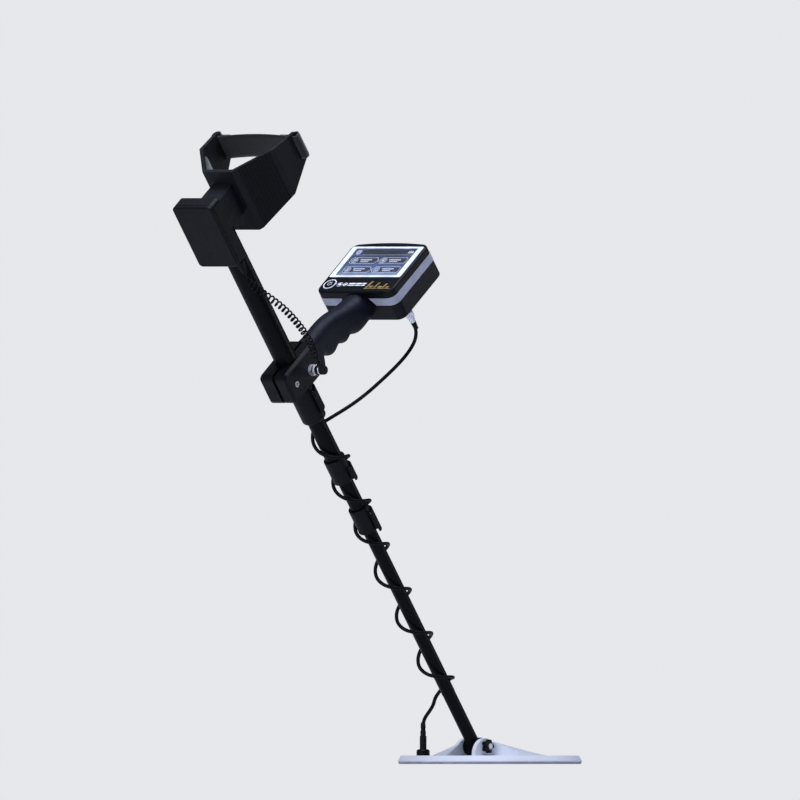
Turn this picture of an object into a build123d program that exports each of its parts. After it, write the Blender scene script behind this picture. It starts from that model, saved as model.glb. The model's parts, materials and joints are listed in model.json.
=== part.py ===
from build123d import *
import math
import os

os.makedirs("parts", exist_ok=True)

# Metal detector with a telescopic stem. The row frame has +X forward (from the user to the coil), +Y to the
# user's left and +Z up. Its origin is the centre of the coil's underside. Millimetres and degrees.

# ---------------------------------------------------------------- driving dimensions
STEM_LEAN = 52.2  # the stem's angle above the ground
PIVOT_X = -33.0  # the coil's tilt axis, behind the coil's centre
PIVOT_Z = 24.0

COIL_R = 125.0
COIL_EDGE_R = 121.0
COIL_T = 11.5
COIL_BASE_T = 3.0
COIL_WALL = 2.4
HUB_TOP_Z = 30.0
EAR_R = 23.0
EAR_Z = 12.0
EAR_IN = 13.4
EAR_OUT = 19.5

UPPER_TUBE_R = 15.5
UPPER_TUBE_BORE = 14.2
UPPER_STEM_R = 12.0
UPPER_STEM_BORE = 10.55
MIDDLE_STEM_R = 10.5
MIDDLE_STEM_BORE = 9.25
LOWER_STEM_R = 9.2
LOWER_STEM_BORE = 8.0
ROD_R = 8.9
FIT = 0.05  # radial clearance of every running fit

ROD_TOP = 92.0  # places along the stem, up from the coil's tilt axis
LOWER_STEM_TOP = 560.0
MIDDLE_STEM_END = 386.0
MIDDLE_STEM_TOP = 640.0
UPPER_STEM_END = 472.0
UPPER_STEM_TOP = 780.0
UPPER_TUBE_END = 592.0
UPPER_TUBE_TOP = 930.0
TUBE_SEAT_TOP = 933.4  # the blind end of the seat that holds the upper tube

HOUSING_LOW = 617.0
HOUSING_HIGH = 664.5
HOUSING_BACK = -39.0
HOUSING_FRONT = 42.0
HOUSING_LEFT = 26.0
HOUSING_RIGHT = 20.5
HOUSING_CORNER = 8.0
HOUSING_GROOVE = 2.5
HOUSING_GROOVE_DEPTH = 4.0

CONSOLE_BACK = 601.0
CONSOLE_BAND_BACK = 627.0
CONSOLE_BAND_FRONT = 639.0
CONSOLE_FACE = 650.0
CONSOLE_LOW = 170.0
CONSOLE_SIDE_TOP = 276.0
CONSOLE_TOP = 280.5
CONSOLE_HALF = 66.0
CONSOLE_CORNER = 12.0
CONSOLE_WALL = 2.4
BEZEL_LOW = 203.0
BEZEL_HIGH = 270.0
BEZEL_HALF = 62.0
GLASS_LOW = 206.5
GLASS_HIGH = 266.5
GLASS_HALF = 53.5
BUTTON_N = 187.0
POWER_LEFT = 50.0
LAMP_LEFT = 33.0

CUFF_PLATE_LOW = 38.0
CUFF_PLATE_HIGH = 44.0
CUFF_BACK = 859.0
CUFF_END = 959.0
CUFF_KNEE = 92.0
CUFF_TOP = 138.0
CUFF_SLOT = 131.0
STRAP_LOW = 910.5
STRAP_HIGH = 948.5

BATTERY_LOW = 853.0
BATTERY_HIGH = 955.0
BATTERY_HALF = 34.0
BATTERY_FRONT = -13.0
BATTERY_SPLIT = -31.0
BATTERY_BACK = -37.0

SCREW_R = 2.0
SCREW_HEAD_R = 4.2
SCREW_HEAD_T = 3.0
CUFF_SCREW_LOW = 903.0
CUFF_SCREW_HIGH = 927.0
BRACKET_LOW = 892.0
BRACKET_HIGH = 938.0
BRACKET_HALF = 17.0
STRAP_ARCH = 5.0
TAIL_L = 14.0

BATTERY_CORNER = 6.0
BATTERY_WALL = 2.2
BATTERY_ROOM = 12.6
BATTERY_PORT_N = -24.0
BATTERY_PORT_RIGHT = 27.0
PORT_HOLE_R = 4.5
COVER_GAP = 0.9
CELL_W = 30.0
CELL_L = 76.0
CELL_T = 10.0

BOLT_R = 2.5
BOLT_HEAD_R = 4.2
BOLT_HEAD_T = 3.0
HOUSING_BOLT_N = -21.0
HOUSING_BOLT_UP = 639.5
HANDLE_PORT_N = 15.0
HANDLE_PORT_UP = 636.0
HANDLE_PORT_R = 7.8
PLUG_OUT = 24.0
CORD_OUT_RIGHT = 40.0
CORD_OUT_UP = 648.0

BEZEL_SINK = 2.2
NOTCH_WIDE = 32.0
NOTCH_NARROW = 22.5
CONSOLE_PORT_N = 197.0
CONSOLE_PORT_RIGHT = 53.0
CONSOLE_PORT_R = 5.0
SPEAKER_N = 232.0
BOARD_UP = 620.0
BOARD_N = 226.0
BOARD_W = 82.0
BOARD_HALF = 58.0
SWITCH_TOP = 640.0
POWER_BORE_R = 8.4
POWER_RING_R = 10.0
POWER_TRAVEL = 1.0
LAMP_R = 2.4

PIVOT_BOLT_R = 4.0
BOLT_POCKET_R = 9.0
SLOT_L = 120.0
FOOT_R = 12.0
FOOT_HALF = 11.8
WASHER_T = 1.3
KNOB_R = 9.5
KNOB_LOBES = 5
KNOB_T = 6.5
PLUG_X = -90.0
PLUG_Y = 44.0
PLUG_TOP = 50.0

CABLE_R = 2.5
CURLY_R = 5.5

# ---------------------------------------------------------------- the stem's own planes
lean = math.radians(STEM_LEAN)
UP_STEM = Vector(-math.cos(lean), 0, math.sin(lean))
FORE = Vector(math.sin(lean), 0, math.cos(lean))
PIVOT = Vector(PIVOT_X, 0, PIVOT_Z)
# across the stem: local x is fore, local y is the user's left, and the offset is the way up the stem
stem = Plane(origin=PIVOT, x_dir=FORE, z_dir=UP_STEM)
# beside the stem: local x is fore, local y is up the stem, and the offset is to the user's right
side = Plane(origin=PIVOT, x_dir=FORE, z_dir=(0, -1, 0))


def at_stem(fore, left, up):
    """The row frame's point that lies fore, left and up along the stem's own axes."""
    return PIVOT + FORE * fore + Vector(0, left, 0) + UP_STEM * up


def facing_fore(fore):
    """The plane that looks fore, with local x to the user's left and local y up the stem."""
    return Plane(origin=at_stem(fore, 0, 0), x_dir=(0, 1, 0), z_dir=FORE)


def save(builder, name):
    builder.part.label = name
    export_step(builder.part, "parts/" + name + ".step")


# ---------------------------------------------------------------- tubes and collars
def ring(name, low, high, outer, inner):
    """A plain tube on the stem's axis."""
    with BuildPart() as tube:
        with BuildSketch(stem.offset(low)):
            Circle(outer)
            Circle(inner, mode=Mode.SUBTRACT)
        extrude(amount=high - low)
    save(tube, name)


ring("upper_tube", UPPER_TUBE_END, UPPER_TUBE_TOP, UPPER_TUBE_R, UPPER_TUBE_BORE)
ring("upper_stem", UPPER_STEM_END, UPPER_STEM_TOP, UPPER_STEM_R, UPPER_STEM_BORE)
ring("upper_stem_bush", UPPER_STEM_TOP - 20, UPPER_STEM_TOP, UPPER_TUBE_BORE - FIT, UPPER_STEM_R)
ring("middle_stem", MIDDLE_STEM_END, MIDDLE_STEM_TOP, MIDDLE_STEM_R, MIDDLE_STEM_BORE)
ring("lower_stem", ROD_TOP, LOWER_STEM_TOP, LOWER_STEM_R, LOWER_STEM_BORE)

with BuildPart() as tube_end_cap:
    with BuildSketch(stem.offset(UPPER_TUBE_TOP - 8)):
        Circle(UPPER_TUBE_BORE)
    extrude(amount=8)
    with BuildSketch(stem.offset(UPPER_TUBE_TOP)):
        Circle(UPPER_TUBE_R)
    extrude(amount=3)
    fillet(tube_end_cap.faces().sort_by(Axis(PIVOT, UP_STEM))[-1].edges(), 1.2)
save(tube_end_cap, "tube_end_cap")

LEVER_GAP = 0.4
LEVER_T = 2.6
LEVER_FROM = 6.0  # the lever's span round the collar, from fore towards the user's right
LEVER_TO = 78.0
HINGE_AT = 90.0
HINGE_KNUCKLE_R = 2.6
PIN_R = 1.1
EAR_T = 4.0


def round_stem(radius, angle):
    """The stem-plane point at a radius and an angle, measured from fore towards the right."""
    turn = math.radians(angle)
    return (radius * math.cos(turn), -radius * math.sin(turn))


def lock(number, low, high, outer, seat, tube_r, tube_end, lever_low, lever_high, rounding):
    """A flip lock: a collar on the wider tube's end, its lever on a pin, and the cam on the lever."""
    hinge_r = outer + LEVER_GAP + HINGE_KNUCKLE_R - 0.4
    hinge = round_stem(hinge_r, HINGE_AT)
    ears_low = max(lever_low, low + 3)
    with BuildPart() as collar:
        with BuildSketch(stem.offset(low)):
            Circle(outer)
        extrude(amount=high - low)
        lower_rim = collar.faces().sort_by(Axis(PIVOT, UP_STEM))[0].edges()
        upper_rim = collar.faces().sort_by(Axis(PIVOT, UP_STEM))[-1].edges()
        fillet(lower_rim, rounding)
        fillet(upper_rim, 1.2)
        for ear_low in (ears_low, lever_high - EAR_T):
            with BuildSketch(stem.offset(ear_low)):
                with Locations(hinge):
                    Circle(HINGE_KNUCKLE_R)
                with Locations(round_stem(hinge_r - 4, HINGE_AT)):
                    Rectangle(2 * HINGE_KNUCKLE_R, 8, rotation=0)
            extrude(amount=EAR_T)
        with BuildSketch(stem.offset(low)):
            Circle(seat)
        extrude(amount=high - low, mode=Mode.SUBTRACT)
        with BuildSketch(stem.offset(tube_end)):
            Circle(tube_r)
        extrude(amount=high - tube_end, mode=Mode.SUBTRACT)
        with BuildSketch(stem.offset(low)):
            with Locations(hinge):
                Circle(PIN_R)
        extrude(amount=high - low + 20, mode=Mode.SUBTRACT)
    save(collar, "lock_collar_%d" % number)

    inner = outer + LEVER_GAP
    with BuildPart() as lever:
        knuckle_low = ears_low + EAR_T + 0.3
        knuckle_high = lever_high - EAR_T - 0.3
        with BuildSketch(stem.offset(lever_low)):
            with BuildLine():
                start_in = round_stem(inner, LEVER_FROM)
                start_out = round_stem(inner + LEVER_T, LEVER_FROM)
                end_in = round_stem(inner, LEVER_TO)
                end_out = round_stem(inner + LEVER_T, LEVER_TO)
                middle = (LEVER_FROM + LEVER_TO) / 2
                ThreePointArc(start_in, round_stem(inner, middle), end_in)
                Line(end_in, end_out)
                ThreePointArc(end_out, round_stem(inner + LEVER_T, middle), start_out)
                Line(start_out, start_in)
            make_face()
        extrude(amount=lever_high - lever_low)
        with BuildSketch(stem.offset(knuckle_low)):
            with Locations(hinge):
                Circle(HINGE_KNUCKLE_R)
            with BuildLine():
                near = round_stem(inner + 0.05, LEVER_TO - 3)
                far = round_stem(inner + LEVER_T - 0.05, LEVER_TO - 3)
                Polyline(
                    near,
                    (hinge[0] + 0.6, hinge[1] + HINGE_KNUCKLE_R - 0.9),
                    (hinge[0] + 0.6, hinge[1] - HINGE_KNUCKLE_R + 0.3),
                    far,
                    close=True,
                )
            make_face()
        extrude(amount=knuckle_high - knuckle_low)
        with BuildSketch(stem.offset(lever_low - 5)):
            with Locations(hinge):
                Circle(PIN_R + FIT)
        extrude(amount=lever_high - lever_low + 10, mode=Mode.SUBTRACT)
        with BuildSketch(stem.offset(low - 10)):
            Circle(inner)
        extrude(amount=high - low + 20, mode=Mode.SUBTRACT)
    save(lever, "lock_lever_%d" % number)

    with BuildPart() as pin:
        with BuildSketch(stem.offset(ears_low)):
            with Locations(hinge):
                Circle(PIN_R)
        extrude(amount=lever_high - ears_low)
    save(pin, "lock_pin_%d" % number)


lock(1, 563, 617, 17.2, UPPER_STEM_R + FIT, UPPER_TUBE_R, UPPER_TUBE_END, 576, 611, 4.5)
lock(2, 459, 497, 15.2, MIDDLE_STEM_R + FIT, UPPER_STEM_R, UPPER_STEM_END, 455.5, 479, 2.0)
lock(3, 373, 412, 14.2, LOWER_STEM_R + FIT, MIDDLE_STEM_R, MIDDLE_STEM_END, 368, 402.5, 2.0)

# ---------------------------------------------------------------- arm cuff
CUFF_PLATE_HALF = 24.0
CUFF_KNEE_HALF = 65.0
CUFF_TOP_HALF = 69.0
CUFF_SKIN = 5.0
PAD_T = 4.0
PAD_TOP = 82.0
SLOT_H = 4.0
STRAP_T = 2.0


def mirrored_profile(points):
    """A closed outline from its right half, given as (fore, right) points from the middle and back."""
    for (a, b), (c, d) in zip(points, points[1:]):
        Line((a, -b), (c, -d))
        Line((a, b), (c, d))


with BuildPart() as arm_cuff:
    with BuildSketch(stem.offset(CUFF_BACK)):
        with BuildLine():
            mirrored_profile(
                [
                    (CUFF_PLATE_LOW, 0),
                    (CUFF_PLATE_LOW, CUFF_PLATE_HALF + 1),
                    (CUFF_KNEE - 1, CUFF_KNEE_HALF),
                    (CUFF_TOP, CUFF_TOP_HALF),
                    (CUFF_TOP, CUFF_TOP_HALF - CUFF_SKIN),
                    (CUFF_KNEE, CUFF_KNEE_HALF - CUFF_SKIN),
                    (CUFF_PLATE_HIGH, CUFF_PLATE_HALF - 0.5),
                    (CUFF_PLATE_HIGH, 0),
                ]
            )
        make_face()
    extrude(amount=CUFF_END - CUFF_BACK)
    with BuildSketch(side.offset(-CUFF_TOP_HALF - 5)) as outline:
        with BuildLine():
            Polyline(
                (CUFF_PLATE_LOW - 1, CUFF_BACK),
                (CUFF_PLATE_HIGH, CUFF_BACK),
                (CUFF_KNEE, CUFF_BACK + 22),
                (CUFF_TOP + 1, CUFF_BACK + 49),
                (CUFF_TOP + 1, CUFF_END - 8),
                (CUFF_KNEE, CUFF_END - 2),
                (CUFF_PLATE_LOW - 1, CUFF_END),
                close=True,
            )
        make_face()
        fillet(outline.vertices(), 2.5)
    extrude(amount=2 * CUFF_TOP_HALF + 10, mode=Mode.INTERSECT)
    with BuildSketch(side.offset(-CUFF_TOP_HALF - 5)):
        with Locations((CUFF_SLOT, (STRAP_LOW + STRAP_HIGH) / 2)):
            Rectangle(SLOT_H, STRAP_HIGH - STRAP_LOW + 1)
    extrude(amount=2 * CUFF_TOP_HALF + 10, mode=Mode.SUBTRACT)
    for low, radius in ((CUFF_PLATE_LOW, SCREW_R), (CUFF_PLATE_HIGH - SCREW_HEAD_T, SCREW_HEAD_R)):
        with BuildSketch(facing_fore(low)):
            with Locations((0, CUFF_SCREW_LOW), (0, CUFF_SCREW_HIGH)):
                Circle(radius)
        extrude(amount=20, mode=Mode.SUBTRACT)
save(arm_cuff, "arm_cuff")

with BuildPart() as cuff_screws:
    for low, high, radius in (
        (CUFF_PLATE_LOW - 14, CUFF_PLATE_HIGH - SCREW_HEAD_T, SCREW_R),
        (CUFF_PLATE_HIGH - SCREW_HEAD_T, CUFF_PLATE_HIGH - 0.2, SCREW_HEAD_R - 0.2),
    ):
        with BuildSketch(facing_fore(low)):
            with Locations((0, CUFF_SCREW_LOW), (0, CUFF_SCREW_HIGH)):
                Circle(radius)
        extrude(amount=high - low)
save(cuff_screws, "cuff_screws")

with BuildPart() as cuff_bracket:
    with BuildSketch(stem.offset(BRACKET_LOW)):
        with BuildLine():
            mirrored_profile(
                [
                    (BATTERY_FRONT, 0),
                    (BATTERY_FRONT, BRACKET_HALF + 1),
                    (CUFF_PLATE_LOW - 6, BRACKET_HALF),
                    (CUFF_PLATE_LOW, BRACKET_HALF - 1),
                    (CUFF_PLATE_LOW, 0),
                ]
            )
        make_face()
    extrude(amount=BRACKET_HIGH - BRACKET_LOW)
    with BuildSketch(stem.offset(BRACKET_LOW)):
        Circle(UPPER_TUBE_R)
    extrude(amount=TUBE_SEAT_TOP - BRACKET_LOW, mode=Mode.SUBTRACT)
    with BuildSketch(facing_fore(CUFF_PLATE_LOW - 14)):
        with Locations((0, CUFF_SCREW_LOW), (0, CUFF_SCREW_HIGH)):
            Circle(SCREW_R)
    extrude(amount=20, mode=Mode.SUBTRACT)
save(cuff_bracket, "cuff_bracket")

with BuildPart() as cuff_pad:
    rise = (PAD_TOP - CUFF_PLATE_HIGH) / (CUFF_KNEE - CUFF_PLATE_HIGH)
    flare = CUFF_KNEE_HALF - CUFF_SKIN - CUFF_PLATE_HALF + 0.5
    with BuildSketch(stem.offset(CUFF_BACK + 6)):
        with BuildLine():
            mirrored_profile(
                [
                    (CUFF_PLATE_HIGH, 0),
                    (CUFF_PLATE_HIGH, CUFF_PLATE_HALF - 0.5),
                    (PAD_TOP, CUFF_PLATE_HALF - 0.5 + flare * rise),
                    (PAD_TOP + 2, CUFF_PLATE_HALF - 3.5 + flare * rise),
                    (CUFF_PLATE_HIGH + PAD_T, CUFF_PLATE_HALF - 2.5),
                    (CUFF_PLATE_HIGH + PAD_T, 0),
                ]
            )
        make_face()
    extrude(amount=CUFF_END - CUFF_BACK - 12)
    with BuildSketch(side.offset(-CUFF_TOP_HALF)) as outline:
        with BuildLine():
            Polyline(
                (CUFF_PLATE_HIGH - 1, CUFF_BACK + 5),
                (CUFF_PLATE_HIGH + 2, CUFF_BACK + 5),
                (CUFF_KNEE, CUFF_BACK + 27),
                (CUFF_KNEE, CUFF_END - 6),
                (CUFF_PLATE_HIGH - 1, CUFF_END - 5),
                close=True,
            )
        make_face()
    extrude(amount=2 * CUFF_TOP_HALF, mode=Mode.INTERSECT)
save(cuff_pad, "cuff_pad")

# the strap crosses the cuff, and each end goes out of its slot, over the bar above it and back in on itself
with BuildPart() as arm_strap:
    bar_in = CUFF_TOP_HALF - CUFF_SKIN - 0.8
    bar_out = CUFF_TOP_HALF + 0.6
    low = CUFF_SLOT - SLOT_H / 2 + 0.7
    with BuildSketch(stem.offset(STRAP_LOW)):
        with BuildLine():
            ThreePointArc((low, bar_in - 0.5), (low + STRAP_ARCH, 0), (low, -bar_in + 0.5))
            ThreePointArc(
                (low + STRAP_T, bar_in - 0.5),
                (low + STRAP_T + STRAP_ARCH, 0),
                (low + STRAP_T, -bar_in + 0.5),
            )
            Line((low, bar_in - 0.5), (low + STRAP_T, bar_in - 0.5))
            Line((low, -bar_in + 0.5), (low + STRAP_T, -bar_in + 0.5))
        make_face()
        for hand in (-1, 1):
            with BuildLine():
                Polyline(
                    (low, hand * (bar_in - 1)),
                    (low, hand * (bar_out + STRAP_T)),
                    (CUFF_TOP + 0.5 + STRAP_T, hand * (bar_out + STRAP_T)),
                    (CUFF_TOP + 0.5 + STRAP_T, hand * (bar_in - STRAP_T)),
                    (low + STRAP_T - 0.5, hand * (bar_in - STRAP_T)),
                    (low + STRAP_T - 0.5, hand * (bar_in - 1)),
                    close=True,
                )
            make_face()
            with Locations(((low + STRAP_T + CUFF_TOP + 0.5) / 2, hand * (bar_in + bar_out) / 2)):
                Rectangle(CUFF_TOP + 0.5 - low - STRAP_T, bar_out - bar_in, mode=Mode.SUBTRACT)
            with Locations((low - TAIL_L / 2 + 1, hand * (bar_out + STRAP_T / 2))):
                Rectangle(TAIL_L, STRAP_T)
    extrude(amount=STRAP_HIGH - STRAP_LOW)
save(arm_strap, "arm_strap")

# ---------------------------------------------------------------- battery case
with BuildPart() as battery_case:
    with BuildSketch(facing_fore(BATTERY_SPLIT)):
        with Locations((0, (BATTERY_LOW + BATTERY_HIGH) / 2)):
            RectangleRounded(2 * BATTERY_HALF, BATTERY_HIGH - BATTERY_LOW, BATTERY_CORNER)
    extrude(amount=BATTERY_FRONT - BATTERY_SPLIT)
    fillet(battery_case.faces().sort_by(Axis(PIVOT, FORE))[-1].edges(), 2.5)
    with BuildSketch(facing_fore(BATTERY_SPLIT)):
        with Locations((0, (BATTERY_LOW + BATTERY_HIGH) / 2)):
            RectangleRounded(
                2 * (BATTERY_HALF - BATTERY_WALL),
                BATTERY_HIGH - BATTERY_LOW - 2 * BATTERY_WALL,
                BATTERY_CORNER - BATTERY_WALL,
            )
    extrude(amount=BATTERY_ROOM, mode=Mode.SUBTRACT)
    with BuildSketch(stem.offset(BATTERY_LOW - 5)):
        Circle(UPPER_TUBE_R)
    extrude(amount=TUBE_SEAT_TOP - BATTERY_LOW + 5, mode=Mode.SUBTRACT)
    with BuildSketch(stem.offset(BATTERY_LOW)):
        with Locations((BATTERY_PORT_N, -BATTERY_PORT_RIGHT)):
            Circle(PORT_HOLE_R)
    extrude(amount=BATTERY_WALL + 1, mode=Mode.SUBTRACT)
save(battery_case, "battery_case")

with BuildPart() as battery_cover:
    with BuildSketch(facing_fore(BATTERY_BACK)):
        with Locations((0, (BATTERY_LOW + BATTERY_HIGH) / 2)):
            RectangleRounded(2 * BATTERY_HALF, BATTERY_HIGH - BATTERY_LOW, BATTERY_CORNER)
    extrude(amount=BATTERY_SPLIT - BATTERY_BACK - COVER_GAP)
    fillet(battery_cover.faces().sort_by(Axis(PIVOT, FORE))[0].edges(), 2.5)
    with BuildSketch(facing_fore(BATTERY_SPLIT - COVER_GAP)):
        with Locations((0, (BATTERY_LOW + BATTERY_HIGH) / 2)):
            Rectangle(2 * (BATTERY_HALF - BATTERY_WALL) - 1, BATTERY_HIGH - BATTERY_LOW - 24)
            Rectangle(2 * (BATTERY_HALF - BATTERY_WALL) - 4, BATTERY_HIGH - BATTERY_LOW, mode=Mode.SUBTRACT)
    extrude(amount=COVER_GAP + 2.5)
save(battery_cover, "battery_cover")

with BuildPart() as battery_cells:
    with BuildSketch(facing_fore(BATTERY_SPLIT + BATTERY_ROOM - CELL_T)):
        for hand in (-1, 1):
            with Locations((hand * (CELL_W / 2 + 0.5), (BATTERY_LOW + BATTERY_HIGH) / 2)):
                RectangleRounded(CELL_W, CELL_L, 3)
    extrude(amount=CELL_T)
save(battery_cells, "battery_cells")

with BuildPart() as battery_socket:
    with BuildSketch(stem.offset(BATTERY_LOW - 4)):
        with Locations((BATTERY_PORT_N, -BATTERY_PORT_RIGHT)):
            Circle(6.2)
    extrude(amount=4)
    with BuildSketch(stem.offset(BATTERY_LOW)):
        with Locations((BATTERY_PORT_N, -BATTERY_PORT_RIGHT)):
            Circle(PORT_HOLE_R)
    extrude(amount=BATTERY_WALL + 1)
save(battery_socket, "battery_socket")

with BuildPart() as battery_plug:
    for low, high, radius in ((-10, -4, 5.6), (-15, -10, 4.4), (-20, -15, 3.4)):
        with BuildSketch(stem.offset(BATTERY_LOW + low)):
            with Locations((BATTERY_PORT_N, -BATTERY_PORT_RIGHT)):
                Circle(radius)
        extrude(amount=high - low)
save(battery_plug, "battery_plug")

# ---------------------------------------------------------------- handle housing
def housing_half(hand):
    """One half of the housing round the tube; hand is 1 on the left and -1 on the right."""
    thick = HOUSING_LEFT if hand == 1 else HOUSING_RIGHT
    bolt_head_at = -HOUSING_LEFT if hand == 1 else HOUSING_RIGHT - BOLT_HEAD_T
    with BuildPart() as half:
        with BuildSketch(side) as outline:
            with BuildLine():
                Polyline(
                    (HOUSING_BACK, HOUSING_LOW),
                    (HOUSING_BACK, HOUSING_HIGH),
                    (HOUSING_FRONT, HOUSING_HIGH),
                    (HOUSING_FRONT, HOUSING_LOW + 4),
                    (HOUSING_FRONT - 6, HOUSING_LOW),
                    close=True,
                )
            make_face()
            fillet(outline.vertices().group_by(Axis(PIVOT, FORE))[0], HOUSING_CORNER)
        extrude(amount=-hand * thick)
        outer = half.faces().sort_by(Axis((0, 0, 0), (0, hand, 0)))[-1]
        chamfer(outer.edges(), 3.5)
        with BuildSketch(side):
            Rectangle(400, 4000)
            with Locations(((HOUSING_BACK + HOUSING_FRONT) / 2, (HOUSING_LOW + HOUSING_HIGH) / 2)):
                Rectangle(
                    HOUSING_FRONT - HOUSING_BACK - 2 * HOUSING_GROOVE_DEPTH,
                    HOUSING_HIGH - HOUSING_LOW - 2 * HOUSING_GROOVE_DEPTH,
                    mode=Mode.SUBTRACT,
                )
        extrude(amount=-hand * HOUSING_GROOVE, mode=Mode.SUBTRACT)
        with BuildSketch(stem.offset(HOUSING_LOW - 5)):
            Circle(UPPER_TUBE_R)
        extrude(amount=HOUSING_HIGH - HOUSING_LOW + 10, mode=Mode.SUBTRACT)
        with BuildSketch(side):
            with Locations((HOUSING_BOLT_N, HOUSING_BOLT_UP)):
                Circle(BOLT_R)
        extrude(amount=-hand * thick, mode=Mode.SUBTRACT)
        with BuildSketch(side.offset(bolt_head_at)):
            with Locations((HOUSING_BOLT_N, HOUSING_BOLT_UP)):
                Circle(BOLT_HEAD_R)
        extrude(amount=BOLT_HEAD_T, mode=Mode.SUBTRACT)
        if hand == -1:
            with BuildSketch(side.offset(HOUSING_RIGHT - 3)):
                with Locations((HANDLE_PORT_N, HANDLE_PORT_UP)):
                    Circle(HANDLE_PORT_R - 2)
            extrude(amount=3, mode=Mode.SUBTRACT)
    return half


save(housing_half(1), "housing_left")
save(housing_half(-1), "housing_right")

with BuildPart() as housing_bolt:
    with BuildSketch(side.offset(-HOUSING_LEFT)):
        with Locations((HOUSING_BOLT_N, HOUSING_BOLT_UP)):
            Circle(BOLT_R)
    extrude(amount=HOUSING_LEFT + HOUSING_RIGHT)
    for offset in (-HOUSING_LEFT, HOUSING_RIGHT - BOLT_HEAD_T):
        with BuildSketch(side.offset(offset)):
            with Locations((HOUSING_BOLT_N, HOUSING_BOLT_UP)):
                Circle(BOLT_HEAD_R)
        extrude(amount=BOLT_HEAD_T)
    with BuildSketch(side.offset(HOUSING_RIGHT - 1.6)):
        with Locations((HOUSING_BOLT_N, HOUSING_BOLT_UP)):
            RegularPolygon(2.0, 6)
    extrude(amount=2, mode=Mode.SUBTRACT)
save(housing_bolt, "housing_bolt")

# the socket and plug lie on an axis to the user's right, and the cord leaves the plug up the stem
with BuildPart() as handle_socket:
    for low, high, radius in ((-3, 0, HANDLE_PORT_R - 2), (0, 5, HANDLE_PORT_R)):
        with BuildSketch(side.offset(HOUSING_RIGHT + low)):
            with Locations((HANDLE_PORT_N, HANDLE_PORT_UP)):
                Circle(radius)
        extrude(amount=high - low)
    with BuildSketch(side.offset(HOUSING_RIGHT + 3)):
        with Locations((HANDLE_PORT_N, HANDLE_PORT_UP)):
            Circle(HANDLE_PORT_R - 2)
    extrude(amount=2, mode=Mode.SUBTRACT)
save(handle_socket, "handle_socket")

with BuildPart() as handle_plug:
    for low, high, radius in ((3, 6.5, 5.6), (6.5, 11, 6.8), (11, 14, 5.4), (14, PLUG_OUT, 6.0)):
        with BuildSketch(side.offset(HOUSING_RIGHT + low)):
            with Locations((HANDLE_PORT_N, HANDLE_PORT_UP)):
                Circle(radius)
        extrude(amount=high - low)
    with BuildSketch(stem.offset(HANDLE_PORT_UP)):
        with Locations((HANDLE_PORT_N, -CORD_OUT_RIGHT)):
            Circle(4.2)
    extrude(amount=CORD_OUT_UP - HANDLE_PORT_UP)
save(handle_plug, "handle_plug")

# ---------------------------------------------------------------- grip
# each station: how far fore of the stem, the finger side, the palm side, half its width
GRIP_STATIONS = (
    (42.0, 622.0, 664.0, 14.5),
    (56.0, 621.5, 663.5, 14.5),
    (70.0, 618.0, 663.5, 14.7),
    (82.0, 614.0, 663.5, 15.0),
    (96.0, 617.0, 662.5, 15.2),
    (110.0, 610.0, 660.0, 15.5),
    (122.0, 612.0, 656.5, 16.0),
    (134.0, 606.0, 653.0, 17.0),
    (147.0, 603.0, 650.5, 18.3),
    (158.0, 603.5, 648.5, 19.3),
    (168.0, 605.0, 646.5, 20.3),
    (180.0, 605.5, 644.5, 21.3),
)
GRIP_ROUND = 0.46  # the corner radius as a share of the shorter side
GRIP_WALL = 3.2
GRIP_BOLT_UP = 634.0
GRIP_BOSSES = ((52.0, 12.6), (140.0, 15.6))  # how far fore, and how long


def grip_form(inset, last):
    """The grip's whole outer form, or its hollow, lofted through the stations up to the last one given."""
    with BuildPart() as form:
        for fore, finger, palm, half in GRIP_STATIONS[:last]:
            wide = 2 * (half - inset)
            deep = palm - finger - 2 * inset
            with BuildSketch(facing_fore(fore)):
                with Locations((0, (finger + palm) / 2)):
                    RectangleRounded(wide, deep, GRIP_ROUND * min(wide, deep))
        loft()
    return form.part


grip_whole = grip_form(0, len(GRIP_STATIONS))
grip_hollow = grip_form(GRIP_WALL, len(GRIP_STATIONS))


def grip_half(hand):
    """One half of the grip, split on the middle plane, with its bosses for two screws."""
    with BuildPart() as half:
        add(grip_whole)
        add(grip_hollow, mode=Mode.SUBTRACT)
        for fore, length in GRIP_BOSSES:
            with BuildSketch(side):
                with Locations((fore, GRIP_BOLT_UP)):
                    Circle(4.5)
            extrude(amount=-hand * length)
            with BuildSketch(side):
                with Locations((fore, GRIP_BOLT_UP)):
                    Circle(1.5)
            extrude(amount=-hand * (length - 3), mode=Mode.SUBTRACT)
        with BuildSketch(side):
            with Locations((110, 635)):
                Rectangle(200, 120)
        extrude(amount=hand * 60, mode=Mode.SUBTRACT)
    return half


save(grip_half(1), "grip_left")
save(grip_half(-1), "grip_right")

# ---------------------------------------------------------------- console
def console_outline(height, inset):
    """The console's rounded outline across the stem, its top side slightly arched, drawn inset all round."""
    low = CONSOLE_LOW + inset
    high = CONSOLE_SIDE_TOP - inset
    half = CONSOLE_HALF - inset
    with BuildSketch(stem.offset(height), mode=Mode.PRIVATE) as outline:
        with BuildLine():
            Polyline((high, -half), (low, -half), (low, half), (high, half))
            ThreePointArc((high, half), (CONSOLE_TOP - inset, 0), (high, -half))
        make_face()
        fillet(outline.vertices(), CONSOLE_CORNER - inset)
    return outline.sketch


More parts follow.
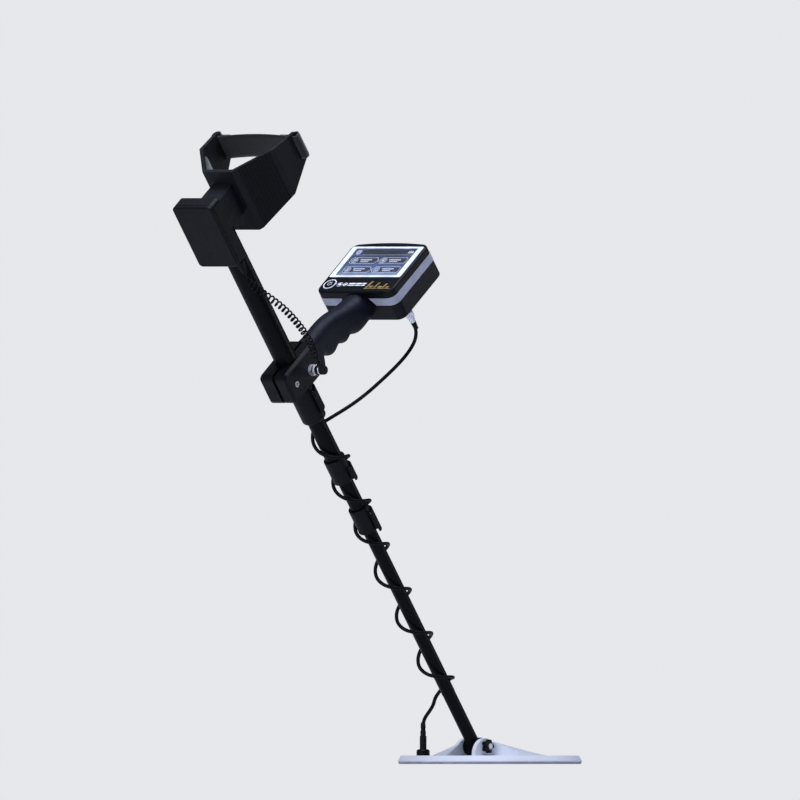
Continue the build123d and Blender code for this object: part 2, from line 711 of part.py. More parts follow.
with BuildPart() as console_front:
    extrude(console_outline(CONSOLE_BAND_FRONT, 0), amount=CONSOLE_FACE - CONSOLE_BAND_FRONT)
    fillet(console_front.faces().sort_by(Axis(PIVOT, UP_STEM))[-1].edges(), 2.6)
    front_room = CONSOLE_FACE - CONSOLE_BAND_FRONT - CONSOLE_WALL - 1
    extrude(console_outline(CONSOLE_BAND_FRONT, CONSOLE_WALL + 1.5), amount=front_room, mode=Mode.SUBTRACT)
    with BuildSketch(stem.offset(CONSOLE_FACE - BEZEL_SINK)):
        with Locations(((BEZEL_LOW + BEZEL_HIGH) / 2, 0)):
            RectangleRounded(BEZEL_HIGH - BEZEL_LOW, 2 * BEZEL_HALF, 2)
    extrude(amount=BEZEL_SINK + 1, mode=Mode.SUBTRACT)
    with BuildSketch(stem.offset(CONSOLE_BAND_FRONT)):
        with Locations(((GLASS_LOW + GLASS_HIGH) / 2, 0)):
            Rectangle(GLASS_HIGH - GLASS_LOW, 2 * GLASS_HALF)
    extrude(amount=20, mode=Mode.SUBTRACT)
    with BuildSketch(stem.offset(CONSOLE_BAND_FRONT)):
        with Locations((BUTTON_N, POWER_LEFT)):
            Circle(POWER_BORE_R)
        with Locations((BUTTON_N, LAMP_LEFT)):
            Circle(LAMP_R)
    extrude(amount=20, mode=Mode.SUBTRACT)
    add(grip_whole, mode=Mode.SUBTRACT)
save(console_front, "console_front")

with BuildPart() as console_band:
    band_wide = CONSOLE_BAND_FRONT - CONSOLE_BAND_BACK
    extrude(console_outline(CONSOLE_BAND_BACK, -0.4), amount=band_wide)
    extrude(console_outline(CONSOLE_BAND_BACK, CONSOLE_WALL), amount=band_wide, mode=Mode.SUBTRACT)
    with BuildSketch(facing_fore(CONSOLE_LOW - 2)):
        with BuildLine():
            Polyline(
                (-NOTCH_WIDE, CONSOLE_BAND_BACK - 1),
                (-NOTCH_NARROW, CONSOLE_BAND_FRONT + 1),
                (NOTCH_NARROW, CONSOLE_BAND_FRONT + 1),
                (NOTCH_WIDE, CONSOLE_BAND_BACK - 1),
                close=True,
            )
        make_face()
    extrude(amount=12, mode=Mode.SUBTRACT)
    add(grip_whole, mode=Mode.SUBTRACT)
save(console_band, "console_band")

with BuildPart() as console_rear:
    extrude(console_outline(CONSOLE_BACK, 0), amount=CONSOLE_BAND_BACK - CONSOLE_BACK)
    fillet(console_rear.faces().sort_by(Axis(PIVOT, UP_STEM))[0].edges(), 2.2)
    rear_room = CONSOLE_BAND_BACK - CONSOLE_BACK
    hollow = console_outline(CONSOLE_BACK + CONSOLE_WALL + 3, CONSOLE_WALL + 1)
    extrude(hollow, amount=rear_room, mode=Mode.SUBTRACT)
    with BuildSketch(facing_fore(CONSOLE_LOW)):
        with BuildLine():
            Polyline(
                (-NOTCH_WIDE + 0.8, CONSOLE_BAND_BACK - 1),
                (-NOTCH_NARROW + 0.4, CONSOLE_BAND_FRONT - 0.4),
                (NOTCH_NARROW - 0.4, CONSOLE_BAND_FRONT - 0.4),
                (NOTCH_WIDE - 0.8, CONSOLE_BAND_BACK - 1),
                close=True,
            )
        make_face()
    extrude(amount=CONSOLE_WALL)
    add(grip_whole, mode=Mode.SUBTRACT)
    with BuildSketch(stem.offset(CONSOLE_BACK - 1)):
        with Locations((CONSOLE_PORT_N, -CONSOLE_PORT_RIGHT)):
            Circle(CONSOLE_PORT_R)
    extrude(amount=12, mode=Mode.SUBTRACT)
    with BuildSketch(stem.offset(CONSOLE_BACK - 1)):
        with Locations((SPEAKER_N, 0)):
            with PolarLocations(9, 8):
                Circle(1.8)
    extrude(amount=8, mode=Mode.SUBTRACT)
save(console_rear, "console_rear")

with BuildPart() as display_bezel:
    with BuildSketch(stem.offset(CONSOLE_FACE - BEZEL_SINK)):
        with Locations(((BEZEL_LOW + BEZEL_HIGH) / 2, 0)):
            RectangleRounded(BEZEL_HIGH - BEZEL_LOW, 2 * BEZEL_HALF, 2)
        with Locations(((GLASS_LOW + GLASS_HIGH) / 2, 0)):
            Rectangle(GLASS_HIGH - GLASS_LOW, 2 * GLASS_HALF, mode=Mode.SUBTRACT)
    extrude(amount=BEZEL_SINK + 0.5)
save(display_bezel, "display_bezel")


def screen_plate(name, low, high, grow):
    """A rectangular plate on the display's own centre."""
    with BuildPart() as plate:
        with BuildSketch(stem.offset(low)):
            with Locations(((GLASS_LOW + GLASS_HIGH) / 2, 0)):
                Rectangle(GLASS_HIGH - GLASS_LOW + 2 * grow, 2 * GLASS_HALF + 2 * grow)
        extrude(amount=high - low)
    save(plate, name)


screen_plate("display_glass", CONSOLE_FACE - 1.4, CONSOLE_FACE - 0.1, 0)
screen_plate("display_panel", CONSOLE_FACE - 5.4, CONSOLE_FACE - 1.6, -0.4)

with BuildPart() as main_board:
    with BuildSketch(stem.offset(BOARD_UP)):
        with Locations((BOARD_N, 0)):
            Rectangle(BOARD_W, 2 * BOARD_HALF)
    extrude(amount=1.6)
    with BuildSketch(stem.offset(BOARD_UP + 1.6)):
        with Locations((BOARD_N, 0)):
            with GridLocations(26, 34, 2, 3):
                Rectangle(13, 13)
    extrude(amount=2.2)
    with BuildSketch(stem.offset(BOARD_UP + 1.6)):
        with Locations((BUTTON_N, POWER_LEFT)):
            Rectangle(12, 12)
    extrude(amount=SWITCH_TOP - BOARD_UP - 1.6)
save(main_board, "main_board")

with BuildPart() as speaker:
    for low, high, radius in ((0, 3, 18), (3, 8, 11)):
        with BuildSketch(stem.offset(CONSOLE_BACK + CONSOLE_WALL + 3 + low)):
            with Locations((SPEAKER_N, 0)):
                Circle(radius)
        extrude(amount=high - low)
save(speaker, "speaker")

with BuildPart() as power_ring:
    with BuildSketch(stem.offset(CONSOLE_FACE)):
        with Locations((BUTTON_N, POWER_LEFT)):
            Circle(POWER_RING_R)
            Circle(POWER_BORE_R, mode=Mode.SUBTRACT)
    extrude(amount=0.8)
save(power_ring, "power_ring")

with BuildPart() as power_button:
    with BuildSketch(stem.offset(SWITCH_TOP + POWER_TRAVEL + 0.1)):
        with Locations((BUTTON_N, POWER_LEFT)):
            Circle(POWER_BORE_R - 0.3)
    extrude(amount=CONSOLE_FACE + 1.4 - SWITCH_TOP - POWER_TRAVEL - 0.1)
    fillet(power_button.faces().sort_by(Axis(PIVOT, UP_STEM))[-1].edges(), 0.6)
save(power_button, "power_button")

with BuildPart() as indicator_lamp:
    with BuildSketch(stem.offset(CONSOLE_FACE - CONSOLE_WALL - 1)):
        with Locations((BUTTON_N, LAMP_LEFT)):
            Circle(LAMP_R)
    extrude(amount=CONSOLE_WALL + 1.4)
    fillet(indicator_lamp.faces().sort_by(Axis(PIVOT, UP_STEM))[-1].edges(), 0.35)
save(indicator_lamp, "indicator_lamp")

with BuildPart() as console_socket:
    for low, high, radius in ((-4, 0, 6.6), (0, 6, CONSOLE_PORT_R)):
        with BuildSketch(stem.offset(CONSOLE_BACK + low)):
            with Locations((CONSOLE_PORT_N, -CONSOLE_PORT_RIGHT)):
                Circle(radius)
        extrude(amount=high - low)
save(console_socket, "console_socket")

with BuildPart() as console_plug:
    for low, high, radius in ((-15, -4, 5.4), (-20, -15, 4.4), (-24, -20, 3.4)):
        with BuildSketch(stem.offset(CONSOLE_BACK + low)):
            with Locations((CONSOLE_PORT_N, -CONSOLE_PORT_RIGHT)):
                Circle(radius)
        extrude(amount=high - low)
save(console_plug, "console_plug")

# ---------------------------------------------------------------- search coil
HUB_STATIONS = ((COIL_T - 0.5, 0.0, 79.0), (18.5, -12.0, 55.0), (23.5, -18.0, 40.5), (HUB_TOP_Z, -26.0, 22.0))

with BuildPart() as coil_top:
    with BuildSketch(Plane.XZ):
        with BuildLine():
            Polyline(
                (0, COIL_BASE_T),
                (COIL_R, COIL_BASE_T),
                (COIL_R, COIL_BASE_T + 1.5),
                (COIL_EDGE_R, COIL_T),
                (0, COIL_T),
                close=True,
            )
        make_face()
    revolve(axis=Axis.Z)
    fillet(coil_top.edges().filter_by(GeomType.CIRCLE).group_by(Axis.Z)[-1], 1.5)
    with BuildSketch(Plane.XZ):
        with BuildLine():
            Polyline(
                (0, COIL_BASE_T - 1),
                (COIL_EDGE_R - COIL_WALL, COIL_BASE_T - 1),
                (COIL_EDGE_R - COIL_WALL, COIL_T - COIL_WALL - 1),
                (COIL_EDGE_R - COIL_WALL - 2, COIL_T - COIL_WALL),
                (0, COIL_T - COIL_WALL),
                close=True,
            )
        make_face()
    revolve(axis=Axis.Z, mode=Mode.SUBTRACT)
    for height, centre, radius in HUB_STATIONS:
        with BuildSketch(Plane.XY.offset(height)):
            with Locations((centre, 0)):
                Circle(radius)
    loft()
    # the hub is scooped away behind the tilt axis on the right, where the knob turns
    with BuildSketch(Plane.XY.offset(COIL_T)):
        with Locations((PIVOT_X - 17, -EAR_OUT - 26.5)):
            Circle(38)
        with Locations((PIVOT_X - 36, -EAR_OUT)):
            Rectangle(44, 2 * EAR_OUT)
    extrude(amount=40, mode=Mode.SUBTRACT)
    for hand in (-1, 1):
        with BuildSketch(Plane.XZ.offset(-hand * (EAR_IN - 1))):
            with BuildLine():
                ear_left = (PIVOT_X - EAR_R, EAR_Z)
                ear_right = (PIVOT_X + EAR_R, EAR_Z)
                ThreePointArc(ear_left, (PIVOT_X, EAR_Z + EAR_R), ear_right)
                Polyline(ear_right, (PIVOT_X + EAR_R, COIL_T - 1), (PIVOT_X - EAR_R, COIL_T - 1), ear_left)
            make_face()
        extrude(amount=-hand * (EAR_OUT - EAR_IN + 1))
    with BuildSketch(Plane.XZ.offset(-EAR_IN)):
        with Locations((PIVOT_X, COIL_T + 30)):
            Rectangle(SLOT_L, 60)
    extrude(amount=2 * EAR_IN, mode=Mode.SUBTRACT)
    with BuildSketch(Plane.XZ.offset(-EAR_OUT - 20)):
        with Locations((PIVOT_X, PIVOT_Z)):
            Circle(BOLT_POCKET_R)
    extrude(amount=20, mode=Mode.SUBTRACT)
    with BuildSketch(Plane.XZ.offset(-30)):
        with Locations((PIVOT_X, PIVOT_Z)):
            Circle(PIVOT_BOLT_R)
    extrude(amount=60, mode=Mode.SUBTRACT)
save(coil_top, "coil_top")

with BuildPart() as coil_base:
    with BuildSketch(Plane.XZ):
        with BuildLine():
            Polyline(
                (0, 0),
                (COIL_R - 2, 0),
                (COIL_R - 0.4, 1.2),
                (COIL_R - 0.4, COIL_BASE_T),
                (0, COIL_BASE_T),
                close=True,
            )
        make_face()
    revolve(axis=Axis.Z)
save(coil_base, "coil_base")

with BuildPart() as coil_windings:
    for outer, inner in ((112.0, 103.0), (64.0, 57.0)):
        with BuildSketch(Plane.XY.offset(COIL_BASE_T)):
            Circle(outer)
            Circle(inner, mode=Mode.SUBTRACT)
        extrude(amount=4.6)
save(coil_windings, "coil_windings")

with BuildPart() as coil_bolt:
    with BuildSketch(Plane.XZ.offset(-EAR_OUT - 4)):
        with Locations((PIVOT_X, PIVOT_Z)):
            RegularPolygon(7, 6)
    extrude(amount=4)
    with BuildSketch(Plane.XZ.offset(-EAR_OUT)):
        with Locations((PIVOT_X, PIVOT_Z)):
            Circle(PIVOT_BOLT_R)
    extrude(amount=2 * EAR_OUT + 9)
save(coil_bolt, "coil_bolt")

with BuildPart() as coil_knob:
    with BuildSketch(Plane.XZ.offset(EAR_OUT + 0.4)) as star:
        with Locations((PIVOT_X, PIVOT_Z)):
            Circle(KNOB_R - 3)
            with PolarLocations(KNOB_R - 2.8, KNOB_LOBES):
                Circle(2.8)
    extrude(amount=KNOB_T)
    with BuildSketch(Plane.XZ.offset(EAR_OUT)):
        with Locations((PIVOT_X, PIVOT_Z)):
            Circle(PIVOT_BOLT_R + FIT)
    extrude(amount=20, mode=Mode.SUBTRACT)
save(coil_knob, "coil_knob")

with BuildPart() as coil_socket:
    with BuildSketch(Plane.XY.offset(COIL_T)):
        with Locations((PLUG_X, PLUG_Y)):
            Circle(9)
    extrude(amount=8.5)
    chamfer(coil_socket.faces().sort_by(Axis.Z)[-1].edges(), 2)
save(coil_socket, "coil_socket")

with BuildPart() as coil_plug:
    for low, high, radius in ((20.0, 38.0, 4.6), (38.0, 45.0, 3.8), (45.0, PLUG_TOP, 3.2)):
        with BuildSketch(Plane.XY.offset(low)):
            with Locations((PLUG_X, PLUG_Y)):
                Circle(radius)
        extrude(amount=high - low)
save(coil_plug, "coil_plug")

# ---------------------------------------------------------------- lower rod
with BuildPart() as lower_rod:
    with BuildSketch(stem):
        Circle(ROD_R)
    extrude(amount=ROD_TOP)
    with BuildSketch(stem.offset(ROD_TOP)):
        Circle(LOWER_STEM_BORE)
    extrude(amount=34)
    with BuildSketch(Plane.XZ.offset(-FOOT_HALF)):
        with Locations((PIVOT_X, PIVOT_Z)):
            Circle(FOOT_R)
    extrude(amount=2 * FOOT_HALF)
    rims = lower_rod.edges().filter_by(GeomType.CIRCLE)
    fillet(rims.filter_by(lambda edge: edge.radius > FOOT_R - 0.1), 1.6)
    with BuildSketch(Plane.XZ.offset(-30)):
        with Locations((PIVOT_X, PIVOT_Z)):
            Circle(PIVOT_BOLT_R + FIT)
    extrude(amount=60, mode=Mode.SUBTRACT)
save(lower_rod, "lower_rod")

with BuildPart() as foot_washers:
    for low in (-FOOT_HALF - WASHER_T, FOOT_HALF):
        with BuildSketch(Plane.XZ.offset(low)):
            with Locations((PIVOT_X, PIVOT_Z)):
                Circle(9)
                Circle(PIVOT_BOLT_R + FIT, mode=Mode.SUBTRACT)
        extrude(amount=WASHER_T)
save(foot_washers, "foot_washers")

# ---------------------------------------------------------------- cords
def bend_radii(points):
    """One arc for each inner point of a route, as large as the two runs beside it allow."""
    runs = [Vector(*b) - Vector(*a) for a, b in zip(points, points[1:])]
    radii = []
    for before, after in zip(runs, runs[1:]):
        turn = math.radians(before.get_angle(after))
        radii.append(0.45 * min(before.length, after.length) / math.tan(turn / 2))
    return radii


def cord_tube(points, radii, radius, name):
    """A plain tube: straight runs along the points, joined by tangent arcs."""
    with BuildPart() as tube:
        with BuildLine() as path:
            FilletPolyline(*points, radius=radii)
        with BuildSketch(Plane(origin=path.line @ 0, z_dir=path.line % 0)):
            Circle(radius)
        sweep(path=path.wires()[0])
    length = path.wires()[0].length
    share = tube.part.volume / (length * math.pi * radius**2)
    print(name, "tightest arc %.1f, length %.1f, volume ratio %.4f" % (min(radii), length, share))
    save(tube, name)


def beside_stem(point):
    """A (fore, right, up the stem) point in the row frame."""
    fore, right, up = point
    return tuple(at_stem(fore, -right, up))


# the curly cord from the battery plug to the plug on the housing, as (fore, right, up the stem)
CURLY_ROUTE = (
    (-24, 27, 833),
    (-24, 27, 820),
    (-21.5, 32, 804),
    (-15, 40, 784),
    (-6.5, 46, 760),
    (0, 49, 735),
    (5.5, 49.5, 711),
    (10, 47.5, 689),
    (14, 42, 669),
    (15, 40, 657),
    (15, 40, 648),
)
curly_points = [beside_stem(point) for point in CURLY_ROUTE]
cord_tube(curly_points, bend_radii(curly_points), CURLY_R, "curly_cord")

# the coil cable's free loop from the console plug to the stem's left side, as (fore, right, up the stem)
LOOP_ROUTE = (
    (197, 53, 577),
    (197, 53, 567),
    (189, 51, 554),
    (174.5, 46.5, 546.5),
    (155, 42, 543),
    (134, 37, 541.5),
    (113, 31, 540.5),
    (91, 25, 540),
    (68, 18.5, 541),
    (45, 11, 543.5),
    (23, 1.5, 546),
    (5, -15.8, 543),
    (-5, -16.6, 533),
)
# its turns round the stem, half a turn apiece, as (how far up the stem, its distance from the stem's axis):
# wide behind on the left, closer in front on the right, and clear of the flip locks that it passes
WRAP_FROM = -135.0
WRAP_STEPS = 5
WRAP_STOPS = (
    (525, 17.2),
    (489.5, 20.4),
    (452.5, 18.8),
    (413, 19.6),
    (376, 18.2),
    (340, 15.8),
    (301, 20.0),
    (262, 15.4),
    (224, 21.2),
    (186.5, 15.4),
    (148, 21.2),
    (110, 15.4),
)
# from the last turn to the coil plug, in the row frame
LEAD_ROUTE = (
    (-85.5, 18.5, 99),
    (-87, 25.5, 90),
    (-85, 30, 80.5),
    (-87.5, 35, 71.5),
    (-90, 40.5, 63.5),
    (-90, 44, 55.5),
    (-90, 44, 50),
)
LAST_TURN = ((9.0, 106.0, 15.6), (-27.0, 101.0, 16.5))


def wrap_points():
    """The cable's turns down the stem, as (fore, right, up the stem)."""
    points = []
    for half, ((high, wide), (low, next_wide)) in enumerate(zip(WRAP_STOPS, WRAP_STOPS[1:])):
        for step in range(WRAP_STEPS):
            part = step / WRAP_STEPS
            ease = (1 - math.cos(math.pi * part)) / 2
            across = round_stem(wide + (next_wide - wide) * ease, WRAP_FROM - 180 * (half + part))
            points.append((across[0], -across[1], high + (low - high) * part))
    high, wide = WRAP_STOPS[-1]
    across = round_stem(wide, WRAP_FROM - 180 * (len(WRAP_STOPS) - 1))
    points.append((across[0], -across[1], high))
    for angle, high, wide in LAST_TURN:
        across = round_stem(wide, angle)
        points.append((across[0], -across[1], high))
    return points


def middle_of(a, b):
    return tuple((p + q) / 2 for p, q in zip(a, b))


# the one cable is five nodes, cut in the middle of a run where it passes from one stem to the next
cable_route = [beside_stem(point) for point in LOOP_ROUTE + tuple(wrap_points())] + list(LEAD_ROUTE)
loop_end = len(LOOP_ROUTE) - 3
upper_end = len(LOOP_ROUTE) + WRAP_STEPS
middle_end = len(LOOP_ROUTE) + 3 * WRAP_STEPS
lower_end = len(LOOP_ROUTE) + 11 * WRAP_STEPS
CABLE_PARTS = (
    ("cable_loop", 0, loop_end),
    ("cable_wrap_upper", loop_end, upper_end),
    ("cable_wrap_middle", upper_end, middle_end),
    ("cable_wrap_lower", middle_end, lower_end),
    ("cable_lead", lower_end, len(cable_route) - 1),
)
cable_radii = bend_radii(cable_route)
for name, first, last in CABLE_PARTS:
    points = list(cable_route[first + 1 : last + 1])
    if first == 0:
        points.insert(0, cable_route[0])
    else:
        points.insert(0, middle_of(cable_route[first], cable_route[first + 1]))
    if last < len(cable_route) - 1:
        points.append(middle_of(cable_route[last], cable_route[last + 1]))
    cord_tube(points, cable_radii[first:last], CABLE_R, name)
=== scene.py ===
import json
import math

import bpy
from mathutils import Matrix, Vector


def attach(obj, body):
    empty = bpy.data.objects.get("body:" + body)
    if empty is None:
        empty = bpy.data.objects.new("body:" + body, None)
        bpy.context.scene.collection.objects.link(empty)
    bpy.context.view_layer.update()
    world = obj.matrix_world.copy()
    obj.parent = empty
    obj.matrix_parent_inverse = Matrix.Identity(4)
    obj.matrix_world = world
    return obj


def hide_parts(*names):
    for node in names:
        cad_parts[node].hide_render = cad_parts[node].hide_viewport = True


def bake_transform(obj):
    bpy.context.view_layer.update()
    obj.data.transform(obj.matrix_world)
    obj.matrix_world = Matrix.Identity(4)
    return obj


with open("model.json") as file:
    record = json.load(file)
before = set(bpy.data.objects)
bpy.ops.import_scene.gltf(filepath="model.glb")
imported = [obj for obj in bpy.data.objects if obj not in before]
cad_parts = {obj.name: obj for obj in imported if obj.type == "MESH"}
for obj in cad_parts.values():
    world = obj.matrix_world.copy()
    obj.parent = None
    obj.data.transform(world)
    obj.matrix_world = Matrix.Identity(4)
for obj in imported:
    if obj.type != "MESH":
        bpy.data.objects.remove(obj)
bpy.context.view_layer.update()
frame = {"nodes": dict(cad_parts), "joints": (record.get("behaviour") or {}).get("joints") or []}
nodes = frame["nodes"]

# ---------------------------------------------------------------- the stem's own axes
MM = 0.001
joints = {joint["name"]: joint for joint in frame["joints"]}
PIVOT = Vector(joints["coil_tilt"]["pos_m"])  # the coil's tilt axis, where the stem begins
UP_STEM = -Vector(joints["upper_stem_slide"]["axis"]).normalized()
RIGHT = Vector((0, -1, 0))  # the user's right
FORE = RIGHT.cross(UP_STEM).normalized() * -1


def at_stem(fore, right, up):
    """The point that lies fore, right and up the stem from the tilt axis, given in millimetres."""
    return PIVOT + (FORE * fore + RIGHT * right + UP_STEM * up) * MM


# sizes that repeat the CAD model's, in millimetres
CUFF_PLATE_HIGH = 44.0
CUFF_BACK = 859.0
CUFF_END = 959.0
CUFF_KNEE = 92.0
STRAP_LOW = 910.5
STRAP_HIGH = 948.5
CONSOLE_FACE = 650.0
BUTTON_N = 187.0
POWER_RIGHT = -50.0
GLASS_LOW = 206.5
GLASS_HIGH = 266.5
CABLE_R = 2.5
HOUSING_RIGHT = 20.5
HANDLE_PORT = (15, 636)  # how far fore, and how far up the stem
CONSOLE_PORT = (197, 53)  # how far fore, and how far right
CONSOLE_BACK = 601


# ---------------------------------------------------------------- materials
class Finish:
    """A Principled material with short ways to add nodes. Its coordinates are the object's own, in metres."""

    def __init__(self, name, **values):
        self.material = bpy.data.materials.new(name)
        self.material.use_nodes = True
        self.tree = self.material.node_tree
        self.shader = self.tree.nodes["Principled BSDF"]
        for socket, value in values.items():
            self.shader.inputs[socket.replace("_", " ")].default_value = value
        self.place = self.add("ShaderNodeTexCoord").outputs["Object"]

    def add(self, kind, inputs=None, **settings):
        node = self.tree.nodes.new(kind)
        for key, value in settings.items():
            setattr(node, key, value)
        for key, value in (inputs or {}).items():
            if isinstance(value, bpy.types.NodeSocket):
                self.tree.links.new(value, node.inputs[key])
            else:
                node.inputs[key].default_value = value
        return node

    def noise(self, grain, detail=3.0, place=None):
        """Noise whose grain is about that many millimetres."""
        inputs = {"Vector": place or self.place, "Scale": 1 / (grain * MM), "Detail": detail}
        return self.add("ShaderNodeTexNoise", inputs).outputs["Fac"]

    def spread(self, value, low, high, from_low=0.3, from_high=0.7):
        """value carried from one range to another."""
        inputs = {"Value": value, "From Min": from_low, "From Max": from_high, "To Min": low, "To Max": high}
        return self.add("ShaderNodeMapRange", inputs).outputs["Result"]

    def between(self, factor, first, second):
        """A colour between two, which are colours or sockets."""
        node = self.add("ShaderNodeMix", data_type="RGBA")
        for socket, value in ((node.inputs[0], factor), (node.inputs[6], first), (node.inputs[7], second)):
            if isinstance(value, bpy.types.NodeSocket):
                self.tree.links.new(value, socket)
            else:
                socket.default_value = value if socket is node.inputs[0] else (*value, 1)
        return node.outputs[2]

    def sum(self, first, second, operation="ADD"):
        return self.add("ShaderNodeMath", {0: first, 1: second}, operation=operation).outputs[0]

    def wire(self, socket, output):
        self.tree.links.new(output, self.shader.inputs[socket])

    def relief(self, height, depth, strength=1.0, edge=None):
        """Bump of that depth in millimetres, over rounded edges of that radius where edge is given."""
        inputs = {"Height": height, "Distance": depth * MM, "Strength": strength}
        if edge:
            inputs["Normal"] = self.add("ShaderNodeBevel", {"Radius": edge * MM}, samples=4).outputs[0]
        self.wire("Normal", self.add("ShaderNodeBump", inputs).outputs[0])

    def edges(self, radius):
        """1 where the surface turns a corner sharper than the radius in millimetres, and 0 on flat faces."""
        soft = self.add("ShaderNodeBevel", {"Radius": radius * MM}, samples=4).outputs[0]
        flat = self.add("ShaderNodeNewGeometry").outputs["Normal"]
        dot = self.add("ShaderNodeVectorMath", {0: soft, 1: flat}, operation="DOT_PRODUCT").outputs["Value"]
        return self.spread(dot, 1.0, 0.0, 0.86, 0.99)

    def along_stem(self):
        """Coordinates with X fore, Y to the left and Z up the stem, in metres from the tilt axis."""
        turn = math.atan2(FORE.z, FORE.x)
        shift = (-PIVOT.dot(FORE), 0, -PIVOT.dot(UP_STEM))
        inputs = {"Vector": self.place, "Location": shift, "Rotation": (0, turn, 0)}
        node = self.add("ShaderNodeMapping", inputs)
        return node.outputs["Vector"]


def moulded(name, colour, roughness, grain=0.55, depth=0.035, edge=0.5, highlight_lift=2.2, coat=0.0):
    """Moulded plastic: a fine eroded grain, slight cloudiness, and a painted highlight that lightens its
    edges.
    """
    finish = Finish(
        name, Roughness=roughness, IOR=1.5, Specular_IOR_Level=0.14, Coat_Weight=coat, Coat_Roughness=0.2
    )
    cloud = finish.spread(finish.noise(22, 4), 0.0, 1.0)
    shade = finish.between(cloud, [c * 0.82 for c in colour], [c * 1.18 for c in colour])
    # painted highlight: edges lightened towards a brighter copy of the colour, broken up by noise
    painted_edge_highlight = finish.sum(finish.edges(edge), finish.spread(finish.noise(3.0, 4), 0.35, 1.0), "MULTIPLY")
    finish.wire("Base Color", finish.between(painted_edge_highlight, shade, [min(1, c * highlight_lift) for c in colour]))
    finish.wire("Roughness", finish.spread(finish.noise(9, 5), roughness - 0.06, roughness + 0.07))
    finish.relief(finish.noise(grain, 4), depth, 0.8, edge)
    return finish.material


def painted_tube(name, colour, roughness):
    """Black lacquered tube: drawn lines along it, a hint of orange peel, and fine rubbed rings."""
    finish = Finish(
        name, Roughness=roughness, IOR=1.5, Specular_IOR_Level=0.08, Coat_Weight=0.02, Coat_Roughness=0.12
    )
    stem = finish.along_stem()
    drawn = finish.add("ShaderNodeMapping", {"Vector": stem, "Scale": (1, 1, 0.02)}).outputs[0]
    rings = finish.add("ShaderNodeMapping", {"Vector": stem, "Scale": (0.05, 0.05, 1)}).outputs[0]
    lines = finish.noise(0.5, 3, drawn)
    rubbed = finish.noise(0.8, 4, rings)
    both = finish.sum(lines, rubbed, "MULTIPLY")
    rubbing = finish.spread(both, 0, 1, 0.15, 0.4)
    finish.wire("Base Color", finish.between(rubbing, colour, [c * 1.9 for c in colour]))
    finish.wire("Roughness", finish.spread(both, roughness - 0.05, roughness + 0.12, 0.12, 0.42))
    finish.relief(finish.sum(finish.noise(2.4, 2), both), 0.004, 0.3)
    return finish.material


def cuff_plastic(name, colour):
    """The cuff's plastic, smooth above the knee and pressed with small upright bricks on its lower flare."""
    finish = Finish(name, Roughness=0.5, IOR=1.5, Specular_IOR_Level=0.14)
    stem = finish.along_stem()
    parts = finish.add("ShaderNodeSeparateXYZ", {"Vector": stem})
    fore, up = parts.outputs["X"], parts.outputs["Z"]
    bricks = finish.add("ShaderNodeCombineXYZ", {"X": up, "Y": fore})
    sizes = {"Vector": bricks.outputs[0], "Scale": 1.0, "Mortar Size": 0.0005, "Brick Width": 0.0100}
    sizes.update({"Row Height": 0.0042, "Mortar Smooth": 0.5})
    wall = finish.add("ShaderNodeTexBrick", sizes)
    low = finish.spread(fore, 1.0, 0.0, (CUFF_KNEE - 7) * MM, (CUFF_KNEE - 5) * MM)
    from_plate = finish.spread(fore, 0.0, 1.0, (CUFF_PLATE_HIGH + 1) * MM, (CUFF_PLATE_HIGH + 3) * MM)
    patch = finish.sum(low, from_plate, "MULTIPLY")
    joint = finish.sum(wall.outputs["Fac"], patch, "MULTIPLY")
    cloud = finish.spread(finish.noise(25, 4), 0.0, 1.0)
    plain = finish.between(cloud, [c * 0.85 for c in colour], [c * 1.15 for c in colour])
    pressed = finish.between(wall.outputs["Fac"], [c * 0.45 for c in colour], [c * 0.12 for c in colour])
    body = finish.between(patch, plain, pressed)
    # painted highlight: the cuff's edges lightened towards a brighter copy of its colour, broken up by noise
    painted_edge_highlight = finish.sum(finish.edges(0.5), finish.spread(finish.noise(4, 3), 0.4, 1.0), "MULTIPLY")
    finish.wire("Base Color", finish.between(painted_edge_highlight, body, [c * 3.2 for c in colour]))
    finish.wire("Roughness", finish.spread(finish.noise(7, 5), 0.44, 0.58))
    height = finish.sum(finish.sum(finish.noise(0.6, 4), 0.06, "MULTIPLY"), joint, "SUBTRACT")
    finish.relief(height, 0.5, 1.0, 0.5)
    return finish.material


def webbing(name, colour):
    """Woven strap: ribs across it, crossed by the weft, with a slight fuzz."""
    finish = Finish(name, Roughness=0.85, Sheen_Weight=0.5, Sheen_Roughness=0.4)
    stem = finish.along_stem()
    turned = {"Vector": stem, "Rotation": (0, 0, math.radians(45))}
    rib_inputs = {"Vector": stem, "Scale": 210.0, "Distortion": 0.4}
    ribs = finish.add("ShaderNodeTexWave", rib_inputs, bands_direction="Z")
    weft_place = finish.add("ShaderNodeMapping", turned).outputs[0]
    weft_inputs = {"Vector": weft_place, "Scale": 150.0, "Distortion": 0.6}
    weft = finish.add("ShaderNodeTexWave", weft_inputs, bands_direction="Y")
    weave = finish.sum(ribs.outputs["Fac"], weft.outputs["Fac"], "MULTIPLY")
    finish.wire("Base Color", finish.between(weave, [c * 0.5 for c in colour], [c * 1.6 for c in colour]))
    fuzz = finish.sum(finish.noise(0.25, 3), 0.35, "MULTIPLY")
    finish.relief(finish.sum(weave, fuzz), 0.22, 0.9)
    return finish.material


